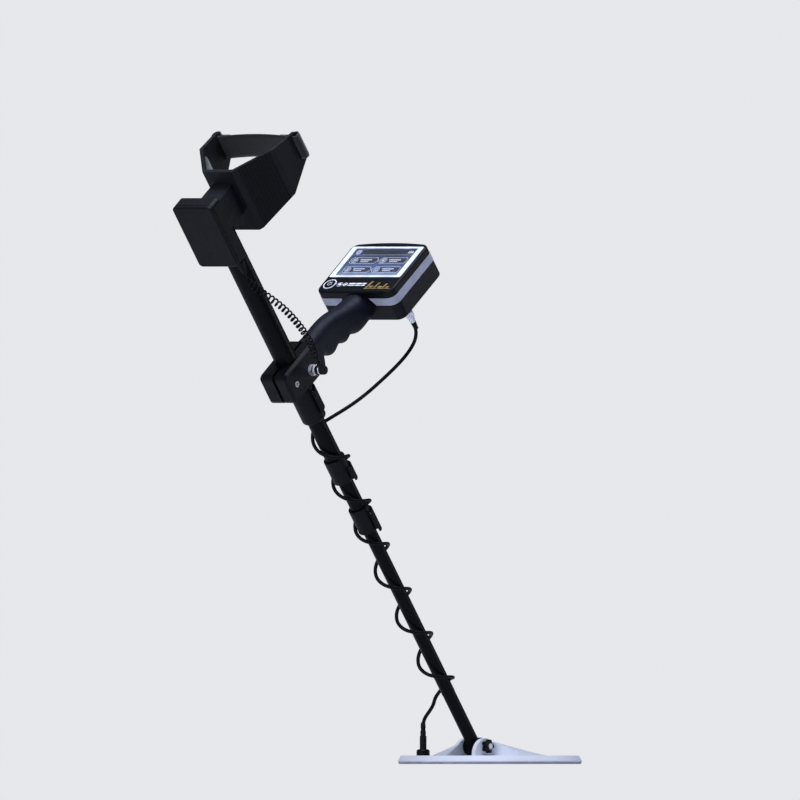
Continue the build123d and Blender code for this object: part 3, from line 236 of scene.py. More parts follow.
def foam_cloth(name, colour):
    """Brushed cloth over foam: a close knit with soft mottling and sheen."""
    finish = Finish(name, Roughness=0.9, Sheen_Weight=0.35, Sheen_Roughness=0.5)
    inputs = {"Vector": finish.place, "Scale": 1 / (0.8 * MM)}
    knit = finish.add("ShaderNodeTexVoronoi", inputs, feature="F1").outputs["Distance"]
    mottle = finish.spread(finish.noise(6, 5), 0.0, 1.0)
    base = finish.between(mottle, [c * 0.8 for c in colour], [c * 1.25 for c in colour])
    holes = finish.spread(knit, 0.0, 0.6, 0.2, 0.7)
    finish.wire("Base Color", finish.between(holes, base, [c * 0.4 for c in colour]))
    finish.relief(finish.sum(knit, finish.noise(0.3, 3)), -0.16, 0.7)
    return finish.material


def rubber(name, colour, roughness=0.5):
    """Extruded cable jacket: satin, with faint dust and drag lines."""
    finish = Finish(name, Roughness=roughness, IOR=1.5, Specular_IOR_Level=0.12)
    dust = finish.spread(finish.noise(5, 5), 0.0, 1.0, 0.45, 0.75)
    finish.wire("Base Color", finish.between(dust, colour, [c * 1.6 for c in colour]))
    finish.wire("Roughness", finish.spread(finish.noise(2.5, 4), roughness - 0.08, roughness + 0.1))
    finish.relief(finish.noise(0.7, 4), 0.006, 0.4)
    return finish.material


def metal(name, colour, roughness, scratch=0.25):
    """Turned and plated metal with fine tool marks, and dulled patches from handling."""
    finish = Finish(name, Metallic=1.0, Roughness=roughness)
    marks = finish.noise(scratch, 5)
    patches = finish.noise(4, 4)
    finish.wire("Base Color", finish.between(finish.spread(patches, 0, 1), [c * 0.8 for c in colour], colour))
    dulled = finish.spread(finish.sum(marks, patches), roughness - 0.06, roughness + 0.16, 0.7, 1.3)
    finish.wire("Roughness", dulled)
    finish.relief(marks, 0.01, 0.5, 0.25)
    return finish.material


def coil_white(name, colour):
    """White moulding: a very fine grain, barely visible flow shading, and painted shade low at its rim,
    patchy with noise.
    """
    finish = Finish(name, Roughness=0.36, IOR=1.46, Coat_Weight=0.15, Coat_Roughness=0.25)
    flow = finish.spread(finish.noise(45, 3), 0.0, 1.0)
    plain = finish.between(flow, [c * 0.965 for c in colour], colour)
    # painted shade: the rim darkened below about 3 to 5 mm from the floor, where shade falls, patchy with
    # noise
    height = finish.add("ShaderNodeSeparateXYZ", {"Vector": finish.place}).outputs["Z"]
    low = finish.spread(height, 1.0, 0.0, 0.003, 0.0052)
    painted_low_shade = finish.sum(low, finish.spread(finish.noise(6, 5), 0.2, 0.8), "MULTIPLY")
    finish.wire("Base Color", finish.between(painted_low_shade, plain, [c * 0.8 for c in colour]))
    finish.wire("Roughness", finish.spread(finish.noise(8, 4), 0.32, 0.46))
    finish.relief(finish.noise(0.5, 3), 0.014, 0.6, 0.4)
    return finish.material


def screen_glow(name):
    """The lit display: slate blue at its top, brighter towards its middle and pale blue at its foot."""
    finish = Finish(name, Roughness=0.35)
    finish.shader.inputs["Base Color"].default_value = (0.01, 0.015, 0.03, 1)
    fore = finish.add("ShaderNodeSeparateXYZ", {"Vector": finish.along_stem()}).outputs["X"]
    share = finish.spread(fore, 0.0, 1.0, GLASS_LOW * MM, GLASS_HIGH * MM)
    ramp = finish.add("ShaderNodeValToRGB", {"Fac": share})
    stops = (
        (0.0, (0.42, 0.55, 0.86)),
        (0.10, (0.30, 0.42, 0.72)),
        (0.17, (0.10, 0.15, 0.34)),
        (0.45, (0.10, 0.17, 0.42)),
        (0.60, (0.045, 0.075, 0.19)),
        (0.78, (0.07, 0.10, 0.22)),
        (0.80, (0.030, 0.038, 0.066)),
        (1.0, (0.055, 0.067, 0.105)),
    )
    elements = ramp.color_ramp.elements
    elements[0].position, elements[0].color = stops[0][0], (*stops[0][1], 1)
    elements[1].position, elements[1].color = stops[-1][0], (*stops[-1][1], 1)
    for position, colour in stops[1:-1]:
        elements.new(position).color = (*colour, 1)
    glow = finish.spread(finish.noise(18, 2), 0.75, 1.2)
    tint = finish.add("ShaderNodeMix", data_type="RGBA", blend_type="MULTIPLY")
    tint.inputs[0].default_value = 1.0
    finish.tree.links.new(ramp.outputs["Color"], tint.inputs[6])
    finish.tree.links.new(glow, tint.inputs[7])
    finish.wire("Emission Color", tint.outputs[2])
    finish.shader.inputs["Emission Strength"].default_value = 1.0
    return finish.material


def printed(name, colour, glow=0.0, roughness=0.4):
    """Printed or lit graphics, with the faint unevenness of ink."""
    finish = Finish(name, Roughness=roughness)
    ink = finish.spread(finish.noise(1.2, 3), 0.0, 1.0)
    shade = finish.between(ink, [c * 0.9 for c in colour], colour)
    finish.wire("Base Color", shade)
    if glow:
        finish.wire("Emission Color", shade)
        finish.shader.inputs["Emission Strength"].default_value = glow
    return finish.material


def clear_glass(name):
    """The display's cover glass, with a trace of smears."""
    finish = Finish(name, Roughness=0.03, IOR=1.45, Transmission_Weight=1.0)
    finish.wire("Roughness", finish.spread(finish.noise(12, 4), 0.02, 0.07))
    finish.relief(finish.noise(15, 2), 0.004, 0.3)
    return finish.material


def brushed_board(name, colour):
    """Solder mask with copper tracks showing through it."""
    finish = Finish(name, Roughness=0.35)
    inputs = {"Vector": finish.along_stem(), "Scale": 420.0, "Distortion": 1.5}
    tracks = finish.add("ShaderNodeTexWave", inputs, bands_direction="Y").outputs["Fac"]
    copper = finish.spread(tracks, 0, 1, 0.6, 0.7)
    finish.wire("Base Color", finish.between(copper, colour, [c * 1.8 for c in colour]))
    finish.relief(tracks, 0.03, 0.5)
    return finish.material


TUBE = painted_tube("tube_lacquer", (0.0009, 0.0010, 0.0018), 0.34)
ROD = painted_tube("rod_composite", (0.0012, 0.0013, 0.0020), 0.42)
CASE = moulded("case_plastic", (0.0028, 0.0032, 0.0048), 0.46)
HOUSING = moulded("housing_plastic", (0.0024, 0.0028, 0.0046), 0.42)
LOCK = moulded("lock_plastic", (0.0022, 0.0024, 0.0036), 0.4, grain=0.45)
GRIP = moulded("grip_rubber", (0.0065, 0.0080, 0.0155), 0.5, grain=0.7, depth=0.06, edge=0.8, highlight_lift=1.6)
SHELL = moulded("console_plastic", (0.004, 0.0046, 0.0068), 0.36, grain=0.4, depth=0.02)
CUFF = cuff_plastic("cuff_plastic", (0.0075, 0.0084, 0.0112))
STRAP = webbing("strap_webbing", (0.006, 0.006, 0.008))
THREAD = webbing("strap_thread", (0.012, 0.012, 0.016))
PAD = foam_cloth("pad_cloth", (0.022, 0.025, 0.028))
JACKET = rubber("cable_jacket", (0.0014, 0.0015, 0.0020))
BOOT = rubber("plug_rubber", (0.006, 0.006, 0.007), 0.55)
SILVER = metal("plug_silver", (0.92, 0.94, 1.0), 0.42)
STEEL = metal("screw_steel", (0.55, 0.56, 0.60), 0.3)
BAND = moulded("band_lavender", (0.40, 0.42, 0.53), 0.38, grain=0.4, depth=0.012, edge=0.4, highlight_lift=1.25)
BEZEL = moulded("bezel_white", (0.80, 0.83, 0.92), 0.35, grain=0.4, depth=0.01, edge=0.3, highlight_lift=1.1)
COIL = coil_white("coil_white", (0.80, 0.83, 0.92))
# painted shade: the coil's narrow base is coloured grey to stand in for the shade under the white rim
COIL_BASE_SHADE = moulded("coil_base_painted_shade", (0.34, 0.36, 0.42), 0.5, highlight_lift=1.2)
GLASS = clear_glass("display_glass_clear")
SCREEN = screen_glow("display_lit")
# painted light: the white print glows faintly, though it is ink and no lamp
GLOWING_WHITE_INK = printed("ink_white_painted_glow", (0.85, 0.87, 0.92), 0.1)
GOLD_INK = metal("ink_gold", (0.92, 0.66, 0.28), 0.3)
LIT_WHITE = printed("screen_white", (0.78, 0.84, 0.98), 0.75)
LIT_LILAC = printed("screen_lilac", (0.36, 0.36, 0.72), 0.7)
LIT_DARK = printed("screen_dark", (0.035, 0.045, 0.085), 0.7)
LIT_MID = printed("screen_slate", (0.12, 0.17, 0.33), 0.7)
LAMP = printed("lamp_clear", (0.8, 0.84, 0.95), 0.3, 0.15)
RING = moulded("ring_white", (0.78, 0.80, 0.88), 0.3, depth=0.01, highlight_lift=1.1)
KEY = moulded("key_black", (0.006, 0.006, 0.008), 0.25, depth=0.008)
BOARD = brushed_board("board_green", (0.01, 0.07, 0.03))
WRAP = rubber("cell_wrap", (0.03, 0.10, 0.28), 0.3)
CONE = rubber("speaker_cone", (0.02, 0.02, 0.02), 0.8)
COPPER = metal("coil_copper", (0.85, 0.45, 0.25), 0.35)
NYLON = moulded("nylon_black", (0.01, 0.01, 0.011), 0.45)

FINISHES = {
    "upper_tube": TUBE, "upper_stem": TUBE, "middle_stem": TUBE, "lower_stem": TUBE, "lower_rod": ROD,
    "tube_end_cap": CASE, "cuff_bracket": CUFF, "arm_cuff": CUFF, "battery_case": CASE, "battery_cover": CASE,
    "battery_socket": LOCK, "battery_plug": BOOT, "battery_cells": WRAP, "cuff_screws": STEEL,
    "housing_left": HOUSING, "housing_right": HOUSING, "housing_bolt": STEEL,
    "handle_socket": SILVER, "handle_plug": BOOT, "grip_left": GRIP, "grip_right": GRIP,
    "console_front": SHELL, "console_band": BAND, "console_rear": SHELL, "display_bezel": BEZEL,
    "display_glass": GLASS, "display_panel": SCREEN, "main_board": BOARD, "speaker": CONE,
    "power_ring": RING, "power_button": KEY, "indicator_lamp": LAMP,
    "console_socket": SILVER, "console_plug": SILVER, "coil_top": COIL, "coil_base": COIL_BASE_SHADE,
    "coil_windings": COPPER, "coil_bolt": STEEL, "coil_knob": LOCK, "coil_socket": LOCK, "coil_plug": BOOT,
    "foot_washers": NYLON, "upper_stem_bush": NYLON,
}
for number in (1, 2, 3):
    FINISHES["lock_collar_%d" % number] = LOCK
    FINISHES["lock_lever_%d" % number] = LOCK
    FINISHES["lock_pin_%d" % number] = STEEL
for node, material in FINISHES.items():
    for slot in nodes[node].material_slots:
        slot.material = material


# ---------------------------------------------------------------- mesh making
def make_piece(name, points, faces, material, smooth=True):
    """A mesh piece from points in the row frame, in metres."""
    mesh = bpy.data.meshes.new(name)
    mesh.from_pydata([tuple(point) for point in points], [], faces)
    mesh.validate()
    mesh.update()
    mesh.materials.append(material)
    for polygon in mesh.polygons:
        polygon.use_smooth = smooth
    piece = bpy.data.objects.new(name, mesh)
    bpy.context.scene.collection.objects.link(piece)
    return piece


def nurbs_line(points, closer=12):
    """The points of a smooth NURBS curve that has the given control points, read from Blender's own curve."""
    data = bpy.data.curves.new("route", "CURVE")
    data.dimensions = "3D"
    spline = data.splines.new("NURBS")
    spline.points.add(len(points) - 1)
    for control, point in zip(spline.points, points):
        control.co = (*point, 1)
    spline.order_u = 3
    spline.use_endpoint_u = True
    spline.resolution_u = closer
    holder = bpy.data.objects.new("route", data)
    bpy.context.scene.collection.objects.link(holder)
    bpy.context.view_layer.update()
    mesh = bpy.data.meshes.new_from_object(holder)
    line = [vertex.co.copy() for vertex in mesh.vertices]
    bpy.data.objects.remove(holder)
    bpy.data.curves.remove(data)
    bpy.data.meshes.remove(mesh)
    return line


def carried_frames(line):
    """For each point of a line, its direction and two axes across it that don't twist along the way."""
    frames = []
    ahead = (line[1] - line[0]).normalized()
    across = ahead.orthogonal().normalized()
    for index, point in enumerate(line):
        before = line[max(0, index - 1)]
        after = line[min(len(line) - 1, index + 1)]
        ahead = (after - before).normalized()
        across = (across - ahead * across.dot(ahead)).normalized()
        frames.append((point, ahead, across, ahead.cross(across)))
    return frames


def tube(name, line, radius, material, sides=14):
    """A round tube along a line, closed at its ends. The radius is in metres, or one for each point."""
    radii = radius if isinstance(radius, list) else [radius] * len(line)
    points = []
    faces = []
    for (centre, ahead, across, up), reach in zip(carried_frames(line), radii):
        for side in range(sides):
            turn = 2 * math.pi * side / sides
            points.append(centre + (across * math.cos(turn) + up * math.sin(turn)) * reach)
    for ring in range(len(line) - 1):
        for side in range(sides):
            a = ring * sides + side
            b = ring * sides + (side + 1) % sides
            faces.append((a, b, b + sides, a + sides))
    last = (len(line) - 1) * sides
    faces.append(tuple(reversed(range(sides))))
    faces.append(tuple(range(last, last + sides)))
    return make_piece(name, points, faces, material)


# ---------------------------------------------------------------- coil cable
# its free loop from the console plug to the stem's left side, as (fore, right, up the stem)
LOOP_ROUTE = (
    (197, 53, 577),
    (197, 53, 567),
    (189, 51, 554),
    (174.5, 46.5, 546.5),
    (155, 42, 543),
    (134, 37, 541.5),
    (113, 31, 540.5),
    (91, 25, 540),
    (68, 18.5, 541),
    (45, 11, 543.5),
    (23, 1.5, 546),
    (5, -15.8, 543),
    (-5, -16.6, 533),
)
# its turns round the stem, half a turn apiece, as (how far up the stem, its distance from the stem's axis)
WRAP_FROM = -135.0
WRAP_STEPS = 5
WRAP_STOPS = (
    (525, 17.2),
    (489.5, 20.4),
    (452.5, 18.8),
    (413, 19.6),
    (376, 18.2),
    (340, 15.8),
    (301, 20.0),
    (262, 15.4),
    (224, 21.2),
    (186.5, 15.4),
    (148, 21.2),
    (110, 15.4),
)
LAST_TURN = ((9.0, 106.0, 15.6), (-27.0, 101.0, 16.5))
# from the last turn to the coil plug, in the row frame
LEAD_ROUTE = (
    (-85.5, 18.5, 99),
    (-87, 25.5, 90),
    (-85, 30, 80.5),
    (-87.5, 35, 71.5),
    (-90, 40.5, 63.5),
    (-90, 44, 55.5),
    (-90, 44, 50),
)


def round_stem(radius, angle, up):
    """A point at that distance from the stem's axis, at an angle in degrees from fore towards the right."""
    turn = math.radians(angle)
    return at_stem(radius * math.cos(turn), radius * math.sin(turn), up)


def wrap_points():
    """The cable's turns down the stem."""
    points = []
    for half, ((high, wide), (low, next_wide)) in enumerate(zip(WRAP_STOPS, WRAP_STOPS[1:])):
        for step in range(WRAP_STEPS):
            part = step / WRAP_STEPS
            ease = (1 - math.cos(math.pi * part)) / 2
            reach = wide + (next_wide - wide) * ease
            points.append(round_stem(reach, WRAP_FROM - 180 * (half + part), high + (low - high) * part))
    high, wide = WRAP_STOPS[-1]
    points.append(round_stem(wide, WRAP_FROM - 180 * (len(WRAP_STOPS) - 1), high))
    for angle, high, wide in LAST_TURN:
        points.append(round_stem(wide, angle, high))
    return points


cable_route = [at_stem(*point) for point in LOOP_ROUTE] + wrap_points()
cable_route += [Vector(point) * MM for point in LEAD_ROUTE]
loop_end = len(LOOP_ROUTE) - 3
upper_end = len(LOOP_ROUTE) + WRAP_STEPS
middle_end = len(LOOP_ROUTE) + 3 * WRAP_STEPS
lower_end = len(LOOP_ROUTE) + 11 * WRAP_STEPS
# each stretch of the one cable: its name, its first and last points, and the bodies it runs between
CABLE_PARTS = (
    ("cable_loop", 0, loop_end, "root", "root"),
    ("cable_wrap_upper", loop_end, upper_end, "root", "upper_stem"),
    ("cable_wrap_middle", upper_end, middle_end, "upper_stem", "middle_stem"),
    ("cable_wrap_lower", middle_end, lower_end, "middle_stem", "lower_stem"),
    ("cable_lead", lower_end, len(cable_route) - 1, "lower_stem", "coil"),
)
for name, first, last, near_body, far_body in CABLE_PARTS:
    controls = list(cable_route[first + 1 : last + 1])
    controls.insert(0, cable_route[0] if first == 0 else (cable_route[first] + cable_route[first + 1]) / 2)
    if last < len(cable_route) - 1:
        controls.append((cable_route[last] + cable_route[last + 1]) / 2)
    line = nurbs_line(controls)
    cable = tube(name + "_jacket", line, CABLE_R * MM, JACKET)
    if near_body == far_body:
        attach(cable, near_body)
    else:
        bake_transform(cable)
    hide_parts(name)

# ---------------------------------------------------------------- curly cord
# from the battery plug to the plug on the housing, as (fore, right, up the stem)
CURLY_ROUTE = (
    (-24, 27, 833),
    (-24, 27, 820),
    (-21.5, 32, 804),
    (-15, 40, 784),
    (-6.5, 46, 760),
    (0, 49, 735),
    (5.5, 49.5, 711),
    (10, 47.5, 689),
    (14, 42, 669),
    (15, 40, 657),
    (15, 40, 648),
)
CURLY_WIRE_R = 1.2 * MM
CURLY_COIL_R = 4.2 * MM
CURLY_TURNS = 25
CURLY_FROM = 0.04  # the coiled stretch, as shares of the cord's way
CURLY_TO = 0.97
CURLY_EASE = 0.05
TURN_STEPS = 22


def ease(value):
    value = max(0.0, min(1.0, value))
    return value * value * (3 - 2 * value)


def curly_line():
    """A wire that coils round the route's smooth line over most of its way."""
    core = nurbs_line([at_stem(*point) for point in CURLY_ROUTE], 40)
    frames = carried_frames(core)
    reach = [0.0]
    for a, b in zip(core, core[1:]):
        reach.append(reach[-1] + (b - a).length)
    steps = int(CURLY_TURNS * TURN_STEPS / (CURLY_TO - CURLY_FROM))
    line = []
    index = 0
    for step in range(steps + 1):
        share = step / steps
        while index < len(core) - 2 and reach[index + 1] < share * reach[-1]:
            index += 1
        part = (share * reach[-1] - reach[index]) / (reach[index + 1] - reach[index])
        centre = core[index].lerp(core[index + 1], part)
        across = frames[index][2].lerp(frames[index + 1][2], part)
        up = frames[index][3].lerp(frames[index + 1][3], part)
        wide = ease((share - CURLY_FROM) / CURLY_EASE) * ease((CURLY_TO - share) / CURLY_EASE) * CURLY_COIL_R
        turn = 2 * math.pi * CURLY_TURNS * (share - CURLY_FROM) / (CURLY_TO - CURLY_FROM)
        line.append(centre + (across * math.cos(turn) + up * math.sin(turn)) * wide)
    return line


line = curly_line()
curly = tube("curly_cord_wire", line, CURLY_WIRE_R, JACKET, 10)
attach(curly, "root")
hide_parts("curly_cord")


# ---------------------------------------------------------------- turned details on the plugs
def lathe(name, centre, axis, profile, material, sides=48, teeth=0, tooth=0.0):
    """A ring turned about an axis, from (along, radius) points in millimetres. teeth cuts a knurl."""
    across = axis.orthogonal().normalized()
    other = axis.cross(across)
    around = max(sides, 4 * teeth)
    points = []
    for along, radius in profile:
        for side in range(around):
            turn = 2 * math.pi * side / around
            cut = tooth * (1 if side % 4 < 2 else 0) if teeth and radius == max(r for _, r in profile) else 0
            reach = (radius - cut) * MM
            outward = across * math.cos(turn) + other * math.sin(turn)
            points.append(centre + axis * along * MM + outward * reach)
    faces = []
    count = len(profile)
    for ring in range(count):
        for side in range(around):
            a = ring * around + side
            b = ring * around + (side + 1) % around
            c = ((ring + 1) % count) * around + (side + 1) % around
            d = ((ring + 1) % count) * around + side
            faces.append((a, b, c, d))
    return make_piece(name, points, faces, material, smooth=not teeth)


def ring_profile(low, high, outer, inner, bevel=0.35):
    """A ring's section with bevelled outer corners."""
    shoulder = outer - bevel
    crown = [(low + bevel, outer), (high - bevel, outer)]
    return [(low, inner), (low, shoulder), *crown, (high, shoulder), (high, inner)]


plug_centre = at_stem(HANDLE_PORT[0], 0, HANDLE_PORT[1])
plug_centre.y = -HOUSING_RIGHT * MM
PLUG_RINGS = (
    ("handle_plug_gap_inner", 3.4, 6.4, 6.0, 5.3, BOOT, "cable_rubber", 0),
    ("handle_plug_knurl", 6.9, 10.2, 7.3, 6.4, SILVER, "plug_metal", 30),
    ("handle_plug_gap_outer", 11.2, 13.8, 5.9, 5.2, BOOT, "cable_rubber", 0),
    ("handle_plug_collar", 14.6, 16.8, 6.7, 5.8, SILVER, "plug_metal", 0),
    ("handle_plug_body_band", 17.4, 23.0, 6.35, 5.8, BOOT, "cable_rubber", 0),
)
for name, low, high, outer, inner, material, slot, teeth in PLUG_RINGS:
    profile = ring_profile(low, high, outer, inner)
    piece = lathe(name, plug_centre, RIGHT, profile, material, 48, teeth, 0.45)
    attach(piece, "root")

console_plug_centre = at_stem(*CONSOLE_PORT, CONSOLE_BACK)
CONSOLE_RINGS = (
    ("console_plug_knurl", -13.5, -6.0, 5.9, 5.2, SILVER, "plug_metal", 28),
    ("console_plug_groove", -5.6, -4.2, 5.6, 5.2, BOOT, "cable_rubber", 0),
)
for name, low, high, outer, inner, material, slot, teeth in CONSOLE_RINGS:
    profile = ring_profile(low, high, outer, inner, 0.3)
    piece = lathe(name, console_plug_centre, UP_STEM, profile, material, 40, teeth, 0.35)
    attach(piece, "root")


def tapered_boot(name, base, direction, length, wide, narrow, ribs, body):
    """A strain relief: a tapered sleeve with ribs round it."""
    steps = ribs * 8
    profile = [(0, narrow * 0.9)]
    for step in range(steps + 1):
        part = step / steps
        reach = wide + (narrow - wide) * part
        rib = 0.28 * math.cos(2 * math.pi * ribs * part)
        profile.append((length * part, reach + rib))
    profile.append((length, narrow * 0.9))
    piece = lathe(name, base, direction, profile, BOOT, 32)
    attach(piece, body)
    return piece


console_boot_base = at_stem(*CONSOLE_PORT, CONSOLE_BACK - 23.5)
tapered_boot("console_plug_boot", console_boot_base, -UP_STEM, 11.0, 3.7, 3.0, 4, "root")
tapered_boot("coil_plug_boot", Vector((-90, 44, 49.5)) * MM, Vector((0, 0, 1)), 7.0, 3.7, 3.0, 3, "coil")

# ---------------------------------------------------------------- arm strap
STRAP_HALF_T = 0.95
STRAP_ARCH = 5.0
# one end's way from the middle of the cuff: out of the slot, over the bar, back in and along itself
STRAP_END = (
    (130.8, 60.5),
    (130.7, 65.0),
    (130.4, 69.8),
    (130.9, 73.0),
    (133.6, 74.6),
    (138.0, 74.2),
    (141.2, 71.6),
    (141.9, 67.5),
    (140.4, 63.6),
    (137.0, 61.9),
    (134.6, 59.6),
    (133.9, 54.0),
    (134.5, 44.0),
)


def ribbon(name, way, low, high, half_t, material):
    """A strap along a way of (fore, right) points, with rounded edges, from low to high up the stem."""
    line = nurbs_line([Vector((fore, right, 0)) for fore, right in way], 6)
    flat = tuple((share, 1.0) for share in (0.8, 0.5, 0.2, -0.2, -0.5, -0.8))
    lower = tuple((w, -t) for w, t in reversed(flat))
    loop = ((1, 0.55), *flat, (-1, 0.55), (-1, -0.55), *lower, (1, -0.55))
    middle = (low + high) / 2
    half_w = (high - low) / 2
    points = []
    faces = []
    for index, point in enumerate(line):
        before = line[max(0, index - 1)]
        after = line[min(len(line) - 1, index + 1)]
        ahead = (after - before).normalized()
        normal = Vector((-ahead.y, ahead.x, 0))
        for w, t in loop:
            edge = half_w * w if abs(w) < 1 else math.copysign(half_w, w)
            spot = point + normal * half_t * t
            points.append(at_stem(spot.x, spot.y, middle + edge))
    count = len(loop)
    for ring in range(len(line) - 1):
        for side in range(count):
            a = ring * count + side
            b = ring * count + (side + 1) % count
            faces.append((a, a + count, b + count, b))
    last = (len(line) - 1) * count
    faces.append(tuple(range(count)))
    faces.append(tuple(reversed(range(last, last + count))))
    return make_piece(name, points, faces, material)


half_way = [(130.8 + STRAP_ARCH * (1 - (right / 62.0) ** 2), right) for right in (0, 15, 30, 45, 54)]
right_way = half_way + list(STRAP_END)
left_way = [(fore, -right) for fore, right in right_way[1:]]
strap_way = left_way[::-1] + right_way
strap = ribbon("arm_strap_webbing", strap_way, STRAP_LOW, STRAP_HIGH, STRAP_HALF_T, STRAP)
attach(strap, "root")
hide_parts("arm_strap")


def stitches(name, spots, along, half_long, rise, radius, body):
    """Short raised stitches at the spots, lying along a direction and sunk at their ends."""
    points = []
    faces = []
    for spot, normal in spots:
        line = []
        for part in (-1, -0.5, 0, 0.5, 1):
            line.append(spot + along * half_long * part + normal * rise * (1 - part * part))
        for centre, ahead, across, up in carried_frames(line):
            for side in range(6):
                turn = math.pi * side / 3
                points.append(centre + (across * math.cos(turn) + up * math.sin(turn)) * radius)
        start = len(points) - 30
        for ring in range(4):
            for side in range(6):
                a = start + ring * 6 + side
                b = start + ring * 6 + (side + 1) % 6
                faces.append((a, b, b + 6, a + 6))
        faces.append(tuple(reversed(range(start, start + 6))))
        faces.append(tuple(range(start + 24, start + 30)))
    piece = make_piece(name, points, faces, THREAD)
    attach(piece, body)
    return piece


STITCH_PITCH = 3.0
seam_spots = []
for hand in (-1, 1):
    for seam_right, seam_fore in ((46.5, 135.35), (52.0, 134.85)):
        up = STRAP_LOW + 3
        while up < STRAP_HIGH - 2:
            seam_spots.append((at_stem(seam_fore + 0.05, hand * seam_right, up), FORE))
            up += STITCH_PITCH
stitches("arm_strap_stitches", seam_spots, UP_STEM, 1.0 * MM, 0.25 * MM, 0.28 * MM, "root")

# ---------------------------------------------------------------- cuff pad
PAD_T = 4.0
PAD_PUFF = 0.9
PAD_PLATE_HALF = 23.5
PAD_KNEE_HALF = 61.6
PAD_TOP = 82.0
PAD_ACROSS = 96
PAD_ALONG = 56
PAD_EDGE = 3.2


def pad_section(share):
    """The pad's back face across the cuff at a share from left to right: (fore, right, tilt of the wall)."""
    flare = (PAD_KNEE_HALF - PAD_PLATE_HALF) / (CUFF_KNEE - CUFF_PLATE_HIGH)
    rise = PAD_TOP - CUFF_PLATE_HIGH
    slope = math.hypot(rise, flare * rise)
    total = PAD_PLATE_HALF + slope
    way = abs(share * 2 - 1) * total
    side = 1 if share > 0.5 else -1
    if way <= PAD_PLATE_HALF:
        return CUFF_PLATE_HIGH, side * way, 0.0
    part = (way - PAD_PLATE_HALF) / slope
    return CUFF_PLATE_HIGH + rise * part, side * (PAD_PLATE_HALF + flare * rise * part), side


def make_pad():
    """Foam in the cuff, under cloth: thick in its three fields, pinched in the channels and at its edge."""
    fields = 5
    slant = math.atan2(PAD_KNEE_HALF - PAD_PLATE_HALF, CUFF_KNEE - CUFF_PLATE_HIGH)
    inner = []
    outer = []
    for i in range(PAD_ACROSS + 1):
        share = i / PAD_ACROSS
        fore, right, side = pad_section(share)
        turn_in = (-math.cos(slant) * side, math.sin(slant)) if side else (0.0, 1.0)
        near = ease(1 - abs(abs(right) - PAD_PLATE_HALF) / 5.0) * 0.5
        normal_right = turn_in[0] * (1 - near)
        normal_fore = turn_in[1] + (1 - turn_in[1]) * near
        size = math.hypot(normal_right, normal_fore)
        low = CUFF_BACK + 7 + 22 * max(0.0, fore - CUFF_PLATE_HIGH) / (CUFF_KNEE - CUFF_PLATE_HIGH)
        high = CUFF_END - 7
        for j in range(PAD_ALONG + 1):
            along = j / PAD_ALONG
            up = low + (high - low) * along
            from_edge = min(up - low, high - up, share * 140, (1 - share) * 140)
            edge = math.sqrt(max(0.0, 1 - (1 - min(1.0, from_edge / PAD_EDGE)) ** 2))
            across_field = abs(math.sin(math.pi * share * fields))
            puff = PAD_PUFF * min(1.0, across_field * 2.2)
            thick = 0.3 + (PAD_T - 1.0 + puff - 0.3) * edge
            inner.append(at_stem(fore + normal_fore / size * thick, right + normal_right / size * thick, up))
            outer.append(at_stem(fore + normal_fore / size * 0.05, right + normal_right / size * 0.05, up))
    points = inner + outer
    stride = PAD_ALONG + 1
    offset = len(inner)
    faces = []
    for i in range(PAD_ACROSS):
        for j in range(PAD_ALONG):
            a = i * stride + j
            faces.append((a, a + 1, a + stride + 1, a + stride))
            faces.append((a + offset, a + stride + offset, a + stride + 1 + offset, a + 1 + offset))
    rim = [i * stride for i in range(PAD_ACROSS + 1)]
    rim += [PAD_ACROSS * stride + j for j in range(1, PAD_ALONG + 1)]
    rim += [i * stride + PAD_ALONG for i in range(PAD_ACROSS - 1, -1, -1)]
    rim += [j for j in range(PAD_ALONG - 1, 0, -1)]
    for a, b in zip(rim, rim[1:] + rim[:1]):
        faces.append((a, b, b + offset, a + offset))
    return make_piece("cuff_pad_foam", points, faces, PAD)


pad = make_pad()
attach(pad, "root")
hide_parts("cuff_pad")


